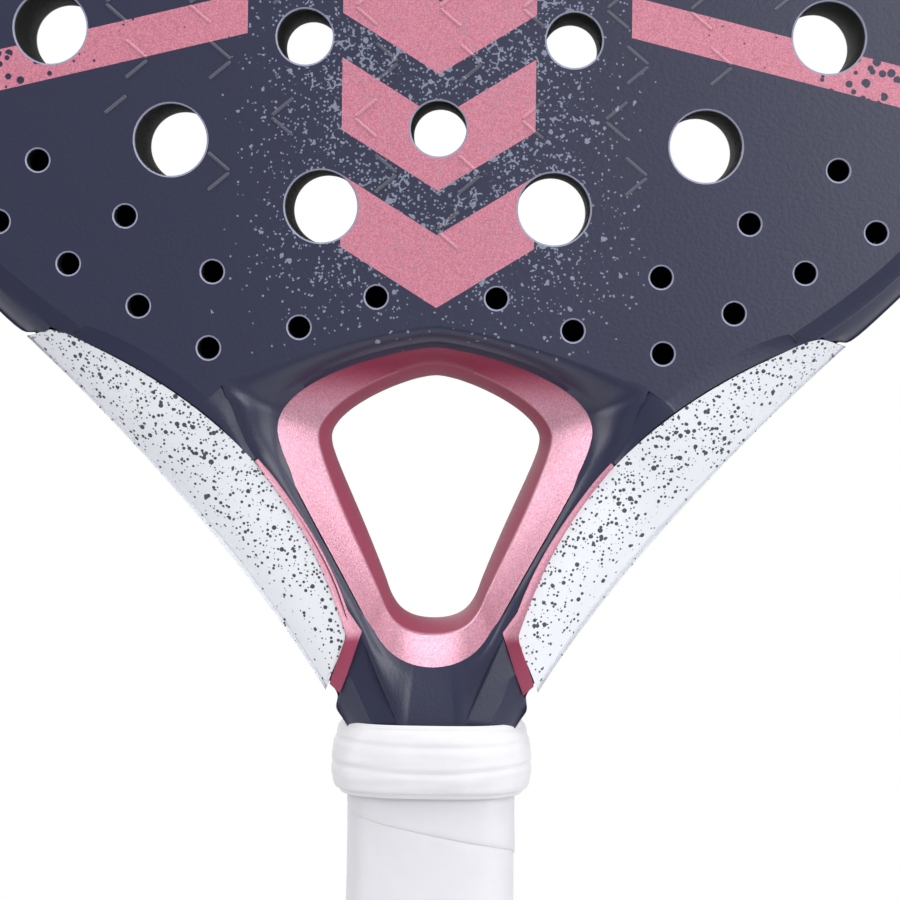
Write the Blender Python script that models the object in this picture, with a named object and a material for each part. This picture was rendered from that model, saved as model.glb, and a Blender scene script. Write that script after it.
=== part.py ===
"""Padel racket: a hollow frame tube, a drilled core between two skins, a heart-shaped throat and a handle.

Sizes are in metres, +Z runs from the butt end to the tip, and the front face looks towards -Y.
The meshes are modelled with the top of the collar at height zero, then hung on one empty whose
place puts the part's origin in the middle of the hand.
"""

import math
from dataclasses import dataclass

import bmesh
import bpy
from mathutils import Vector

# Overall sizes
TOTAL_LENGTH = 0.455
HEAD_WIDTH = 0.260
THICKNESS = 0.038
HANDLE_LENGTH = 0.130
HAND_HEIGHT = 0.062
FIT_GAP = 0.0003

# Outline of the frame, with heights above the top of the collar
WIDEST_HEIGHT = 0.1845
SHOULDER_RADIUS = 0.1442
SHOULDER_TURN = math.radians(47.9)
ARM_PULL = 0.0324
NECK_HALF_WIDTH = 0.0155
NECK_LEAN = math.radians(29.6)

# Section of the frame tube
TUBE_WIDTH = 0.0100
SHELF_WIDTH = 0.0033
SIDE_WALL = 0.0105
BEVEL_ROUNDNESS = 1.8
TUBE_WALL = 0.0022

# Skins and core
SKIN_WALL = 0.0012

# Drilled holes: a ring of large ones round a staggered grid of small ones
LARGE_HOLE = 0.0130
SMALL_HOLE = 0.0100
RING_CENTRE_DROP = 0.0040
RING_SIDE_MARGIN = 0.0410
RING_TOP_MARGIN = 0.0555
RING_BOTTOM_MARGIN = 0.0187
RING_FIRST_ANGLE = math.radians(13.6)
RING_STEP = math.radians(19.1)
RING_PAIRS = 9
GRID_START_DROP = 0.0723
GRID_STEP_ACROSS = 0.0242
GRID_STEP_UP = 0.0162
GRID_ROWS = 9
GRID_COLUMNS = 3
GRID_CLEARANCE = 0.0165

# Blind micro-perforations in three rows beside the throat
MICRO_HOLE = 0.0040
MICRO_EDGE_START_SHARE = 0.262
MICRO_EDGE_START_INSET = 0.0074
MICRO_EDGE_END_RISE = 0.0130
MICRO_EDGE_END_INSET = 0.0163
MICRO_EDGE_COUNT = 4
MICRO_INNER_START = 0.0403
MICRO_INNER_START_RISE = 0.0045
MICRO_INNER_END_RISE = 0.0241
MICRO_INNER_END_INSET = 0.0319
MICRO_INNER_COUNT = 3
MICRO_THROAT_PLACES = (0.0108, 0.0246)
MICRO_THROAT_RISES = (0.0069, 0.0053)

# Wing covers on the arms, with their raised edge trim
WING_TOP_DROP = 0.0070
WING_END_HEIGHT = 0.0057
WING_TIP_INSET = 0.0056
WING_TIP_RISE = 0.0010
WING_TIP_LEAN = math.radians(68.7)
WING_CORNER = (0.0152, 0.0164)
WING_CORNER_LEAN = math.radians(17.1)
WING_PULL = 0.0298
WING_WALL = 0.0016
TRIM_START_SHARE = 0.55
TRIM_GROWTH_SHARE = 0.65
TRIM_START_WIDTH = 0.0006
TRIM_END_WIDTH = 0.0017
TRIM_END_RUN = 0.0021
TRIM_WALL = 0.0005
TRIM_STEP = 0.0010
TRIM_STEP_FIRST_SHARE = 0.35
TRIM_STEP_LAST_SHARE = 0.85

# Throat levels, as half thicknesses, and where the face plane ends on the arm
FACE_END_SHARE = 0.36
BAND_AT_TIP = 0.0084
BAND_AT_FACE_END = 0.0061
ARM_LEVEL = 0.0162
ARM_LEVEL_SHARE = 0.58
ARM_WALL = 0.0098
ARCH_HEIGHT = 0.0728
ARCH_POWER = 1.4
NECK_LEVEL = 0.0158
NECK_WALL = 0.0085
NECK_RIDGE = 0.0055

# Heart opening and the ring round it
HEART_CENTRE = 0.0450
YOKE_SIDE_WIDTH = 0.0051
YOKE_ROLL = 2.0
HEART_TOP = 0.0636
HEART_WIDEST = 0.0520
HEART_BOTTOM = 0.0188
HEART_FOOT = (0.0079, 0.0236)
HEART_LEAN = math.radians(20.6)
RING_TOP_WIDTH = 0.0056
RING_SIDE_WIDTH = 0.0096
RING_BOTTOM_WIDTH = 0.0081
RING_WIDEST = 0.0539
RING_FOOT = (0.0106, 0.0169)
RING_LEAN = math.radians(27.1)
RING_EDGE_LEVEL = 0.0146
RING_CREASE_LEVEL = 0.0100
RING_BAND = 0.0024

# Handle
GRIP_WIDTH = 0.0306
GRIP_DEPTH = 0.0315
GRIP_WALL = 0.0016
GRIP_PITCH = 0.0205
GRIP_SEAM_GAP = 0.0006
GRIP_TOP = 0.0035
GRIP_BOTTOM = 0.0042
GRIP_START = math.radians(-44.0)
GRIP_TAPER = 0.0015
GRIP_EDGE = 0.0005
ROUNDNESS = 3.0
CHANNEL_OUTER = 0.0110
CHANNEL_INNER = 0.0030
CHANNEL_HALF_HEIGHT = 0.0090
CHANNEL_MARGIN = 0.0220
NECK_CHAMFER = 0.0050
CHAMFER_OUTER_SHARE = 0.75
CHAMFER_INNER_SHARE = 0.60
CHAMFER_WALL_SHARE = 0.30
PALLET_TOP = 0.0062
CAP_FLANGE = 0.0036
CAP_FLANGE_LIP = 0.0022
CAP_FLOOR = 0.0040
CAP_SKIRT = 0.0140
CAP_SKIRT_WALL = 0.0011
CAP_EDGE = 0.0012
CORD_HOLE = 0.0090
FLARE_RUN = 0.0060
TAPE_WALL = 0.0004
TAPE_TOP = 0.0046
TAPE_HEIGHT = 0.0060
COLLAR_HEIGHT = 0.0118
COLLAR_WALL = 0.0011
COLLAR_BULGE = 0.0008
COLLAR_EDGE = 0.0009

# How finely round forms are cut
HEAD_STEPS = 12
SHOULDER_STEPS = 7
WING_STEPS = 14
ARCH_STEPS = 16
HOLE_SIDES = 12
BORE_SIDES = 8
MICRO_SIDES = 6
HANDLE_SIDES = 24
HEART_SAMPLES = 40
TRIM_STEPS = 12

# Shares across a section at which its points lie
WING_SHARES = (0.0, 0.04, 0.15, 0.45, 1.0)
SEAT_SHARES = (0.0, 0.1, 0.4, 1.0)
TRIM_END_SHARES = (0.75, 0.45, 0.2)

# How far the heart curves run on past their joints: at the peak, shoulder, side, knee, toe and base
HEART_PULLS = (0.26, 0.46, 0.12, 0.60, 0.71, 0.54)
RING_PULLS = (0.17, 0.66, 0.16, 0.54, 0.66, 0.46)

# Shares along the yoke and the grip at which their sections have points
YOKE_SHARES = (0.0, 0.25, 0.5, 0.75, 1.0)
GRIP_SHARES = (0.0, 0.33, 0.67, 1.0)

NAVY = (0.030, 0.032, 0.062)
BLACK_FOAM = (0.012, 0.012, 0.016)
ROSE = (0.620, 0.170, 0.260)
WHITE = (0.800, 0.800, 0.800)
PALE_RUBBER = (0.740, 0.730, 0.760)
FRAME_NAVY = (0.022, 0.024, 0.046)
TAN_FOAM = (0.450, 0.360, 0.240)


@dataclass
class Station:
    """One cut across the frame: where it starts on the outline and how its section is shaped."""

    outer: Vector
    inward: Vector
    wing_reach: float
    ridge_reach: float
    reach: float
    wall: float
    ridge: float
    curve: float
    wing_seat: float
    band_seat: float
    shelf: float
    stepped: bool

    def place(self, depth, level):
        """The point at a depth in from the outline and a level in front of the middle plane."""
        spot = self.outer + self.inward * depth
        return Vector((spot.x, -level, spot.y))

    def level(self, depth):
        """The level of the outer skin at a depth in from the outline."""
        share = min(depth / self.ridge_reach, 1.0)
        rise = (1.0 - (1.0 - share) ** self.curve) ** (1.0 / self.curve)
        return self.wall + (self.ridge - self.wall) * rise

    def sunk(self, depth, seat):
        """The outer skin at a depth, moved square to itself into the section by a seat."""
        nudge = 0.01 * self.ridge_reach
        before = max(depth - nudge, 0.0)
        slope = Vector((depth + nudge - before, self.level(depth + nudge) - self.level(before))).normalized()
        return depth + slope.y * seat, self.level(depth) - slope.x * seat


def smooth(low, high, value):
    """Ease from 0 at low to 1 at high."""
    share = min(max((value - low) / (high - low), 0.0), 1.0)
    return share * share * (3.0 - 2.0 * share)


def mix(first, last, share):
    """The value at a share of the way from first to last."""
    return first + (last - first) * share


def bezier(start, pull_start, pull_end, end, share):
    """A point of a cubic curve in the plane of the face."""
    rest = 1.0 - share
    return (
        start * rest ** 3
        + pull_start * 3.0 * rest ** 2 * share
        + pull_end * 3.0 * rest * share ** 2
        + end * share ** 3
    )


def leaning(angle):
    """The unit direction that leans out from the racket's axis by an angle."""
    return Vector((math.sin(angle), math.cos(angle)))


def head_top():
    """Height of the tip above the top of the collar."""
    return TOTAL_LENGTH - HANDLE_LENGTH


def head_point(share):
    """The upper head, a quarter ellipse from the tip to the widest point."""
    angle = 0.5 * math.pi * (1.0 - share)
    rise = head_top() - WIDEST_HEIGHT
    return Vector((0.5 * HEAD_WIDTH * math.cos(angle), WIDEST_HEIGHT + rise * math.sin(angle)))


def shoulder_point(share):
    """The lower head, an arc from the widest point to the start of the arm."""
    angle = SHOULDER_TURN * share
    centre = Vector((0.5 * HEAD_WIDTH - SHOULDER_RADIUS, WIDEST_HEIGHT))
    return centre + Vector((math.cos(angle), -math.sin(angle))) * SHOULDER_RADIUS


def arm_point(share):
    """The arm, one curve from the shoulder to the neck at the top of the collar."""
    start = shoulder_point(1.0)
    end = Vector((NECK_HALF_WIDTH, 0.0))
    pull_start = start - leaning(SHOULDER_TURN) * ARM_PULL
    pull_end = end + leaning(NECK_LEAN) * ARM_PULL
    return bezier(start, pull_start, pull_end, end, share)


def arm_share_at(height):
    """The share along the arm at which it has a height."""
    low = 0.0
    high = 1.0
    for _ in range(40):
        middle = 0.5 * (low + high)
        if arm_point(middle).y > height:
            low = middle
        else:
            high = middle
    return 0.5 * (low + high)


def wing_top():
    """Height of the wing cover's upper end at the outline."""
    return shoulder_point(1.0).y - WING_TOP_DROP


def outline_at(height):
    """The outline's point at a height on the lower head or the arm."""
    if height < shoulder_point(1.0).y:
        return arm_point(arm_share_at(height))
    share = math.asin((WIDEST_HEIGHT - height) / SHOULDER_RADIUS) / SHOULDER_TURN
    return shoulder_point(share)


def wing_edge(share):
    """The inner edge of a wing cover, one curve from its tip to its corner by the neck."""
    start = outline_at(wing_top()) + Vector((-WING_TIP_INSET, WING_TIP_RISE))
    end = Vector(WING_CORNER)
    pull_start = start - leaning(WING_TIP_LEAN) * WING_PULL
    pull_end = end + leaning(WING_CORNER_LEAN) * WING_PULL
    return bezier(start, pull_start, pull_end, end, share)


def trim_width(share):
    """Width of the edge trim, which grows from its start towards the neck."""
    return mix(TRIM_START_WIDTH, TRIM_END_WIDTH, smooth(TRIM_GROWTH_SHARE, 1.0, share))


def trim_step(share):
    """How far the throat lies below the wing's edge."""
    return TRIM_STEP * smooth(TRIM_STEP_FIRST_SHARE, TRIM_STEP_LAST_SHARE, share)


def wing_band(share):
    """How far the frame tube reaches past the wing's edge."""
    if share < FACE_END_SHARE:
        return mix(BAND_AT_TIP, BAND_AT_FACE_END, share / FACE_END_SHARE)
    return mix(BAND_AT_FACE_END, trim_width(share), smooth(FACE_END_SHARE, TRIM_START_SHARE, share))


def head_station(outer, ahead, behind):
    """A cut square to the outline of the head."""
    along = (behind - ahead).normalized()
    inward = Vector((along.y, -along.x))
    return Station(
        outer=outer,
        inward=inward,
        wing_reach=0.5 * (TUBE_WIDTH - SHELF_WIDTH),
        ridge_reach=TUBE_WIDTH - SHELF_WIDTH,
        reach=TUBE_WIDTH,
        wall=SIDE_WALL,
        ridge=0.5 * THICKNESS,
        curve=BEVEL_ROUNDNESS,
        wing_seat=0.0,
        band_seat=0.0,
        shelf=SKIN_WALL + FIT_GAP,
        stepped=True,
    )


def wing_station(share, wing_seat=0.0, band_seat=0.0, stepped=False):
    """A cut across the arm along the line from the outline to the wing's edge."""
    first = arm_share_at(wing_top())
    last = arm_share_at(WING_END_HEIGHT)
    outer = arm_point(mix(first, last, share))
    across = wing_edge(share) - outer
    reach = across.length + wing_band(share)
    edge = mix(SHELF_WIDTH, FIT_GAP, smooth(FACE_END_SHARE, ARM_LEVEL_SHARE, share))
    return Station(
        outer=outer,
        inward=across.normalized(),
        wing_reach=across.length,
        ridge_reach=reach - edge,
        reach=reach,
        wall=mix(SIDE_WALL, ARM_WALL, share),
        ridge=mix(0.5 * THICKNESS, ARM_LEVEL, smooth(FACE_END_SHARE, ARM_LEVEL_SHARE, share)),
        curve=BEVEL_ROUNDNESS,
        wing_seat=wing_seat,
        band_seat=band_seat,
        shelf=SKIN_WALL + FIT_GAP if stepped else FIT_GAP,
        stepped=stepped,
    )


def neck_station(outer, inner, wall, ridge, curve):
    """A cut across the neck or the handle, with no wing over it."""
    across = inner - outer
    return Station(
        outer=outer,
        inward=across.normalized(),
        wing_reach=0.5 * across.length,
        ridge_reach=across.length - FIT_GAP,
        reach=across.length,
        wall=wall,
        ridge=ridge,
        curve=curve,
        wing_seat=0.0,
        band_seat=0.0,
        shelf=FIT_GAP,
        stepped=False,
    )


def head_stations():
    """Cuts from the tip round the head to just above the wing cover."""
    points = [head_point(step / HEAD_STEPS) for step in range(HEAD_STEPS + 1)]
    points += [shoulder_point(step / SHOULDER_STEPS) for step in range(1, SHOULDER_STEPS + 1)]
    points.append(arm_point(0.5 * arm_share_at(wing_top())))
    tip_mirror = Vector((-points[1].x, points[1].y))
    cuts = []
    for index, point in enumerate(points[:-1]):
        ahead = points[index - 1] if index else tip_mirror
        cuts.append(head_station(point, ahead, points[index + 1]))
    return cuts


def trim_corner():
    """Where the trim's foot turns from the wing's edge to its lower end."""
    end = wing_station(1.0)
    down = Vector((-end.inward.y, end.inward.x))
    return end.outer + end.inward * end.reach + down * trim_width(1.0)


def neck_start(shift=0.0):
    """The first cut of the bare neck, along the foot of the trim at the wing's lower end."""
    outer = arm_point(arm_share_at(WING_END_HEIGHT - TRIM_END_RUN - shift))
    inner = trim_corner() - Vector((NECK_RIDGE, HEART_CENTRE)).normalized() * shift
    return neck_station(outer, inner, ARM_WALL, ARM_LEVEL - TRIM_STEP, BEVEL_ROUNDNESS)


def edge_share():
    """The fit gap as a share of the way along a wing cover."""
    return FIT_GAP / (wing_top() - WING_END_HEIGHT)


def wing_shares():
    """Shares along the wing cover: even steps, and a close pair where the face or the trim ends."""
    edge = edge_share()
    pairs = [end - back for end in (FACE_END_SHARE, TRIM_START_SHARE) for back in (edge, 0.0)]
    steps = [step / WING_STEPS for step in range(WING_STEPS + 1)]
    clear = [share for share in steps if all(abs(share - other) > edge for other in pairs)]
    return sorted(clear + pairs)


def wing_stations():
    """Cuts along the wing cover, seated under it and, further down, under its trim."""
    seat = WING_WALL + FIT_GAP
    cuts = [wing_station(-edge_share(), stepped=True)]
    for share in wing_shares():
        band_seat = seat if share >= TRIM_START_SHARE else 0.0
        cuts.append(wing_station(share, seat, band_seat, share < FACE_END_SHARE))
    return cuts


def neck_stations():
    """Cuts from the wing's lower end through the neck and down the handle."""
    covered = neck_start()
    covered.wing_seat = WING_WALL + FIT_GAP
    covered.band_seat = WING_WALL + FIT_GAP - TRIM_STEP
    bare = neck_start(FIT_GAP)
    collar_top = neck_station(
        Vector((NECK_HALF_WIDTH, 0.0)), Vector((NECK_RIDGE, 0.0)), NECK_WALL, NECK_LEVEL, BEVEL_ROUNDNESS
    )
    outer = 0.5 * (bare.outer + collar_top.outer)
    inner = 0.5 * (bare.outer + bare.inward * bare.reach + Vector((NECK_RIDGE, 0.0)))
    wall = 0.5 * (ARM_WALL + NECK_WALL)
    ridge = 0.5 * (ARM_LEVEL - TRIM_STEP + NECK_LEVEL)
    middle = neck_station(outer, inner, wall, ridge, BEVEL_ROUNDNESS)
    cuts = [covered, bare, middle, collar_top]
    half_depth = 0.5 * GRIP_DEPTH - GRIP_WALL
    chamfered = neck_station(
        Vector((mix(NECK_HALF_WIDTH, CHANNEL_OUTER, CHAMFER_OUTER_SHARE), -0.5 * NECK_CHAMFER)),
        Vector((mix(NECK_RIDGE, CHANNEL_INNER, CHAMFER_INNER_SHARE), -0.5 * NECK_CHAMFER)),
        mix(NECK_WALL, CHANNEL_HALF_HEIGHT, CHAMFER_WALL_SHARE),
        half_depth - 3.0 * FIT_GAP,
        BEVEL_ROUNDNESS,
    )
    cuts.append(chamfered)
    for height in (-NECK_CHAMFER, CHANNEL_MARGIN - HANDLE_LENGTH):
        cuts.append(neck_station(
            Vector((CHANNEL_OUTER, height)),
            Vector((CHANNEL_INNER, height)),
            CHANNEL_HALF_HEIGHT - FIT_GAP,
            CHANNEL_HALF_HEIGHT,
            BEVEL_ROUNDNESS,
        ))
    return cuts


def tube_section(cut):
    """The outer ring of the frame tube at a cut: front from outside to inside, then the rear."""
    front = [cut.sunk(cut.wing_reach * share, cut.wing_seat) for share in SEAT_SHARES]
    start = cut.wing_reach + min(FIT_GAP, 0.25 * (cut.ridge_reach - cut.wing_reach))
    for place in (start, cut.ridge_reach):
        depth, level = cut.sunk(place, cut.band_seat)
        front.append((min(depth, cut.ridge_reach), level))
    bottom = cut.ridge - cut.band_seat - cut.shelf
    corner = cut.ridge_reach if cut.stepped else 0.5 * (cut.ridge_reach + cut.reach)
    lip = bottom if cut.stepped else bottom + 0.5 * cut.shelf
    front += [(corner, lip), (cut.reach, bottom)]
    return ring_from_front(cut, front)


def cavity_section(cut):
    """The ring of the frame tube's hollow at a cut."""
    low = TUBE_WALL + cut.wing_seat
    high = cut.reach - TUBE_WALL
    middle = 0.5 * (low + high)
    seat = max(cut.wing_seat, cut.band_seat)
    front = [
        (low, cut.wall - 0.5 * TUBE_WALL),
        (middle, cut.level(middle) - seat - 1.5 * TUBE_WALL),
        (high, cut.ridge - cut.band_seat - cut.shelf - TUBE_WALL),
    ]
    return ring_from_front(cut, front)


def ring_from_front(cut, front):
    """A closed ring from the points of its front half and their mirror images on the rear."""
    points = [cut.place(depth, level) for depth, level in front]
    points += [cut.place(depth, -level) for depth, level in reversed(front)]
    return points


def mirrored(point):
    """The same point on the left side of the racket."""
    return Vector((-point.x, point.y, point.z))


def both_sides(rings):
    """Rings from the left end round the tip to the right end; the first ring is the tip's own."""
    left = [[mirrored(point) for point in ring] for ring in rings[1:]]
    return left[::-1] + rings


def loft(mesh, rings, closed=False, capped=True):
    """Faces between neighbouring rings of points, with the ends capped or joined."""
    loops = [[mesh.verts.new(point) for point in ring] for ring in rings]
    pairs = list(zip(loops, loops[1:]))
    if closed:
        pairs.append((loops[-1], loops[0]))
    for first, second in pairs:
        for index in range(len(first)):
            after = (index + 1) % len(first)
            mesh.faces.new((first[index], first[after], second[after], second[index]))
    if capped and not closed:
        mesh.faces.new(loops[0])
        mesh.faces.new(loops[-1])
    return loops


def close_end(mesh, outer, inner):
    """Close the wall between the outer ring and the smaller ring of the hollow at an open end."""
    count = len(outer)
    front = [inner[index * len(inner) // count] for index in range(count // 2)]
    rear = [inner[-1 - index * len(inner) // count] for index in range(count // 2)]
    partners = front + rear[::-1]
    for index in range(count):
        after = (index + 1) % count
        corners = (outer[index], outer[after], partners[after], partners[index])
        mesh.faces.new(list(dict.fromkeys(corners)))


def make_material(name, colour, roughness, metallic=0.0):
    """A plain finish with the piece's own colour."""
    material = bpy.data.materials.new(name)
    material.use_nodes = True
    shader = material.node_tree.nodes["Principled BSDF"]
    shader.inputs["Base Color"].default_value = (*colour, 1.0)
    shader.inputs["Roughness"].default_value = roughness
    shader.inputs["Metallic"].default_value = metallic
    return material


def add_object(name, data, material, root):
    """Put a mesh or curve in the scene under the racket's empty."""
    piece = bpy.data.objects.new(name, data)
    data.materials.append(material)
    bpy.context.collection.objects.link(piece)
    piece.parent = root
    return piece


def add_mesh(name, mesh, material, root, sharp_angle=math.radians(35.0)):
    """Turn a bmesh into a smooth-shaded object with outward faces."""
    bmesh.ops.recalc_face_normals(mesh, faces=mesh.faces)
    if mesh.calc_volume(signed=True) < 0.0:
        bmesh.ops.reverse_faces(mesh, faces=mesh.faces)
    data = bpy.data.meshes.new(name)
    mesh.to_mesh(data)
    mesh.free()
    data.shade_smooth()
    data.set_sharp_from_angle(angle=sharp_angle)
    return add_object(name, data, material, root)


def add_frame_tube(cuts, material, root):
    """The hollow tube round the head, down both arms and into the handle, open at its two ends."""
    mesh = bmesh.new()
    outer = loft(mesh, both_sides([tube_section(cut) for cut in cuts]), capped=False)
    inner = loft(mesh, both_sides([cavity_section(cut) for cut in cuts]), capped=False)
    close_end(mesh, outer[0], inner[0])
    close_end(mesh, outer[-1], inner[-1])
    return add_mesh("frame_tube", mesh, material, root)


def add_wing_cover(name, turn, material, root):
    """A shell over the front, side and rear of one arm."""
    edge = 2.0 * edge_share()
    rings = []
    for step in range(WING_STEPS + 1):
        cut = wing_station(mix(edge, 1.0 - edge, step / WING_STEPS))
        skin = [cut.sunk(cut.wing_reach * share, 0.0) for share in WING_SHARES]
        lining = [cut.sunk(cut.wing_reach * share, WING_WALL) for share in WING_SHARES]
        lining[-1] = (min(lining[-1][0], cut.wing_reach), lining[-1][1])
        ring = [cut.place(depth, level) for depth, level in reversed(skin)]
        ring += [cut.place(depth, -level) for depth, level in skin]
        ring += [cut.place(depth, -level) for depth, level in reversed(lining)]
        ring += [cut.place(depth, level) for depth, level in lining]
        rings.append([turn(point) for point in ring])
    mesh = bmesh.new()
    loft(mesh, rings)
    return add_mesh(name, mesh, material, root)


def trim_rings():
    """Sections of the front right trim: down the wing's edge, round its corner, out along its end."""
    rings = []
    for step in range(TRIM_STEPS + 1):
        share = mix(TRIM_START_SHARE + edge_share(), 1.0, step / TRIM_STEPS)
        cut = wing_station(share)
        foot_level = cut.ridge - trim_step(share)
        top = cut.place(cut.wing_reach + FIT_GAP, cut.level(cut.wing_reach))
        foot = cut.place(cut.reach, foot_level)
        if step == TRIM_STEPS:
            foot = Vector((trim_corner().x, -foot_level, trim_corner().y))
        rings.append(trim_section(top, foot, foot_level - TRIM_WALL))
    end = wing_station(1.0)
    bare = neck_start()
    for share in TRIM_END_SHARES:
        depth = end.wing_reach * share
        top = end.place(depth, end.level(depth))
        foot_level = bare.level(bare.reach * share)
        foot = bare.place(bare.reach * share, foot_level)
        rings.append(trim_section(top, foot, min(foot_level, end.level(depth)) - TRIM_WALL))
    return rings


def trim_section(top, foot, base_level):
    """Four corners of the trim: its top edge, its foot and the two points under them."""
    under_foot = Vector((foot.x, -base_level, foot.z))
    under_top = Vector((top.x, -base_level, top.z))
    return [top, foot, under_foot, under_top]


def add_trim(name, turn, material, root):
    """One rose edge trim of a wing cover."""
    mesh = bmesh.new()
    loft(mesh, [[turn(point) for point in ring] for ring in trim_rings()])
    return add_mesh(name, mesh, material, root, math.radians(20.0))


def heart_points(half_width, top, widest, bottom, foot, lean, pulls):
    """The right half of a heart-shaped loop, from its top round the side to its bottom."""
    peak_pull, shoulder_pull, side_pull, knee_pull, toe_pull, base_pull = pulls
    peak = Vector((0.0, top))
    side = Vector((half_width, widest))
    knee = Vector(foot)
    base = Vector((0.0, bottom))
    shoulder = top - widest
    flank = widest - foot[1]
    toe = foot[1] - bottom
    along = leaning(lean)
    crown = side + Vector((0.0, shoulder_pull * shoulder))
    spans = (
        (peak, peak + Vector((peak_pull * half_width, 0.0)), crown, side),
        (side, side - Vector((0.0, side_pull * flank)), knee + along * knee_pull * flank, knee),
        (knee, knee - along * toe_pull * toe, base + Vector((base_pull * foot[0], 0.0)), base),
    )
    points = []
    for start, pull_start, pull_end, end in spans:
        for step in range(HEART_SAMPLES):
            points.append(bezier(start, pull_start, pull_end, end, step / HEART_SAMPLES))
    points.append(base)
    return points


def throat_half_width(height):
    """Half width between the two arms of the frame tube at a height."""
    low = 0.0
    high = 1.0
    for _ in range(40):
        middle = 0.5 * (low + high)
        cut = wing_station(middle)
        inner = cut.outer + cut.inward * (cut.reach + FIT_GAP)
        if inner.y > height:
            low = middle
        else:
            high = middle
    return inner.x


def heart_half_width():
    """Half width of the opening, which leaves room for the ring and the yoke beside it."""
    return throat_half_width(HEART_WIDEST) - YOKE_SIDE_WIDTH - RING_SIDE_WIDTH


def heart_hole():
    """Half outline of the opening at its narrowest."""
    return heart_points(
        heart_half_width(),
        HEART_TOP,
        HEART_WIDEST,
        HEART_BOTTOM,
        HEART_FOOT,
        HEART_LEAN,
        HEART_PULLS,
    )


def ring_outline():
    """Half outline of the ring's outer edge."""
    return heart_points(
        heart_half_width() + RING_SIDE_WIDTH,
        HEART_TOP + RING_TOP_WIDTH,
        RING_WIDEST,
        HEART_BOTTOM - RING_BOTTOM_WIDTH,
        RING_FOOT,
        RING_LEAN,
        RING_PULLS,
    )


def bearing(point):
    """Angle of a point seen from the heart's centre, from 0 straight up to pi straight down."""
    return math.atan2(abs(point.x), point.y - HEART_CENTRE)


def radius_at(outline, angle):
    """Distance from the heart's centre to a half outline along a bearing."""
    centre = Vector((0.0, HEART_CENTRE))
    for first, second in zip(outline, outline[1:]):
        low = bearing(first)
        high = bearing(second)
        if low <= angle <= high:
            share = (angle - low) / (high - low)
            return mix((first - centre).length, (second - centre).length, share)
    return (outline[-1] - centre).length


def face_end_point(rise=0.0):
    """Where the throat, the core and the frame tube meet, moved up along the tube by a rise."""
    edge = FACE_END_SHARE / WING_STEPS
    cut = wing_station(FACE_END_SHARE, stepped=True)
    above = wing_station(FACE_END_SHARE - edge, stepped=True)
    corner = cut.outer + cut.inward * (cut.reach + FIT_GAP)
    higher = above.outer + above.inward * (above.reach + FIT_GAP)
    return corner + (higher - corner).normalized() * rise


def arch_height(across, rise=0.0):
    """Height of the throat's arch at a distance from the axis, lifted by a rise."""
    end = face_end_point(rise)
    return ARCH_HEIGHT + rise - (ARCH_HEIGHT + rise - end.y) * abs(across / end.x) ** ARCH_POWER


def arch_points(rise=0.0):
    """The throat's arch under the face, from its right end to its left, lifted by a rise."""
    end = face_end_point(rise)
    places = [mix(end.x, -end.x, step / ARCH_STEPS) for step in range(ARCH_STEPS + 1)]
    return [Vector((across, arch_height(across, rise))) for across in places]


def throat_rim():
    """The yoke's outer loop as points with levels: the arch, the right arm, the neck, the left arm."""
    top = 0.5 * THICKNESS
    arch = [(point, top) for point in arch_points()]
    right = []
    for step in range(1, WING_STEPS + 1):
        share = mix(FACE_END_SHARE, 1.0, step / WING_STEPS)
        cut = wing_station(share)
        right.append((cut.outer + cut.inward * (cut.reach + FIT_GAP), cut.ridge - trim_step(share)))
    corner = trim_corner() + (trim_corner() - Vector(WING_CORNER)).normalized() * FIT_GAP
    right[-1] = (corner, ARM_LEVEL - TRIM_STEP)
    for cut in neck_stations()[2:5]:
        right.append((cut.outer + cut.inward * (cut.reach + FIT_GAP), cut.ridge))
    bottom = (Vector((0.0, right[-1][0].y)), right[-1][1])
    right = right[:WING_STEPS - 2] + halved(right[WING_STEPS - 2:] + [bottom])[:-1]
    left = [(Vector((-point.x, point.y)), level) for point, level in right]
    return arch[::-1] + right + [bottom] + left[::-1]


def halved(rim):
    """A run of points with levels, with one more half way along each span."""
    finer = [rim[0]]
    for (before, low), (after, high) in zip(rim, rim[1:]):
        finer += [(0.5 * (before + after), 0.5 * (low + high)), (after, high)]
    return finer


def add_throat_yoke(material, root):
    """The navy yoke: it falls from the face and the arms to the heart ring, front and rear."""
    outline = ring_outline()
    mesh = bmesh.new()
    rings = []
    centre = Vector((0.0, HEART_CENTRE))
    for point, level in throat_rim():
        towards = (point - centre).normalized()
        inner = centre + towards * (radius_at(outline, bearing(point)) + FIT_GAP)
        front = []
        for share in YOKE_SHARES:
            spot = inner.lerp(point, share)
            height = mix(RING_EDGE_LEVEL, level, 1.0 - (1.0 - share) ** YOKE_ROLL)
            front.append((spot, height))
        ring = [Vector((spot.x, -height, spot.y)) for spot, height in front]
        ring += [Vector((spot.x, height, spot.y)) for spot, height in reversed(front)]
        rings.append(ring)
    loft(mesh, rings, closed=True)
    return add_mesh("throat_yoke", mesh, material, root)


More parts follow.
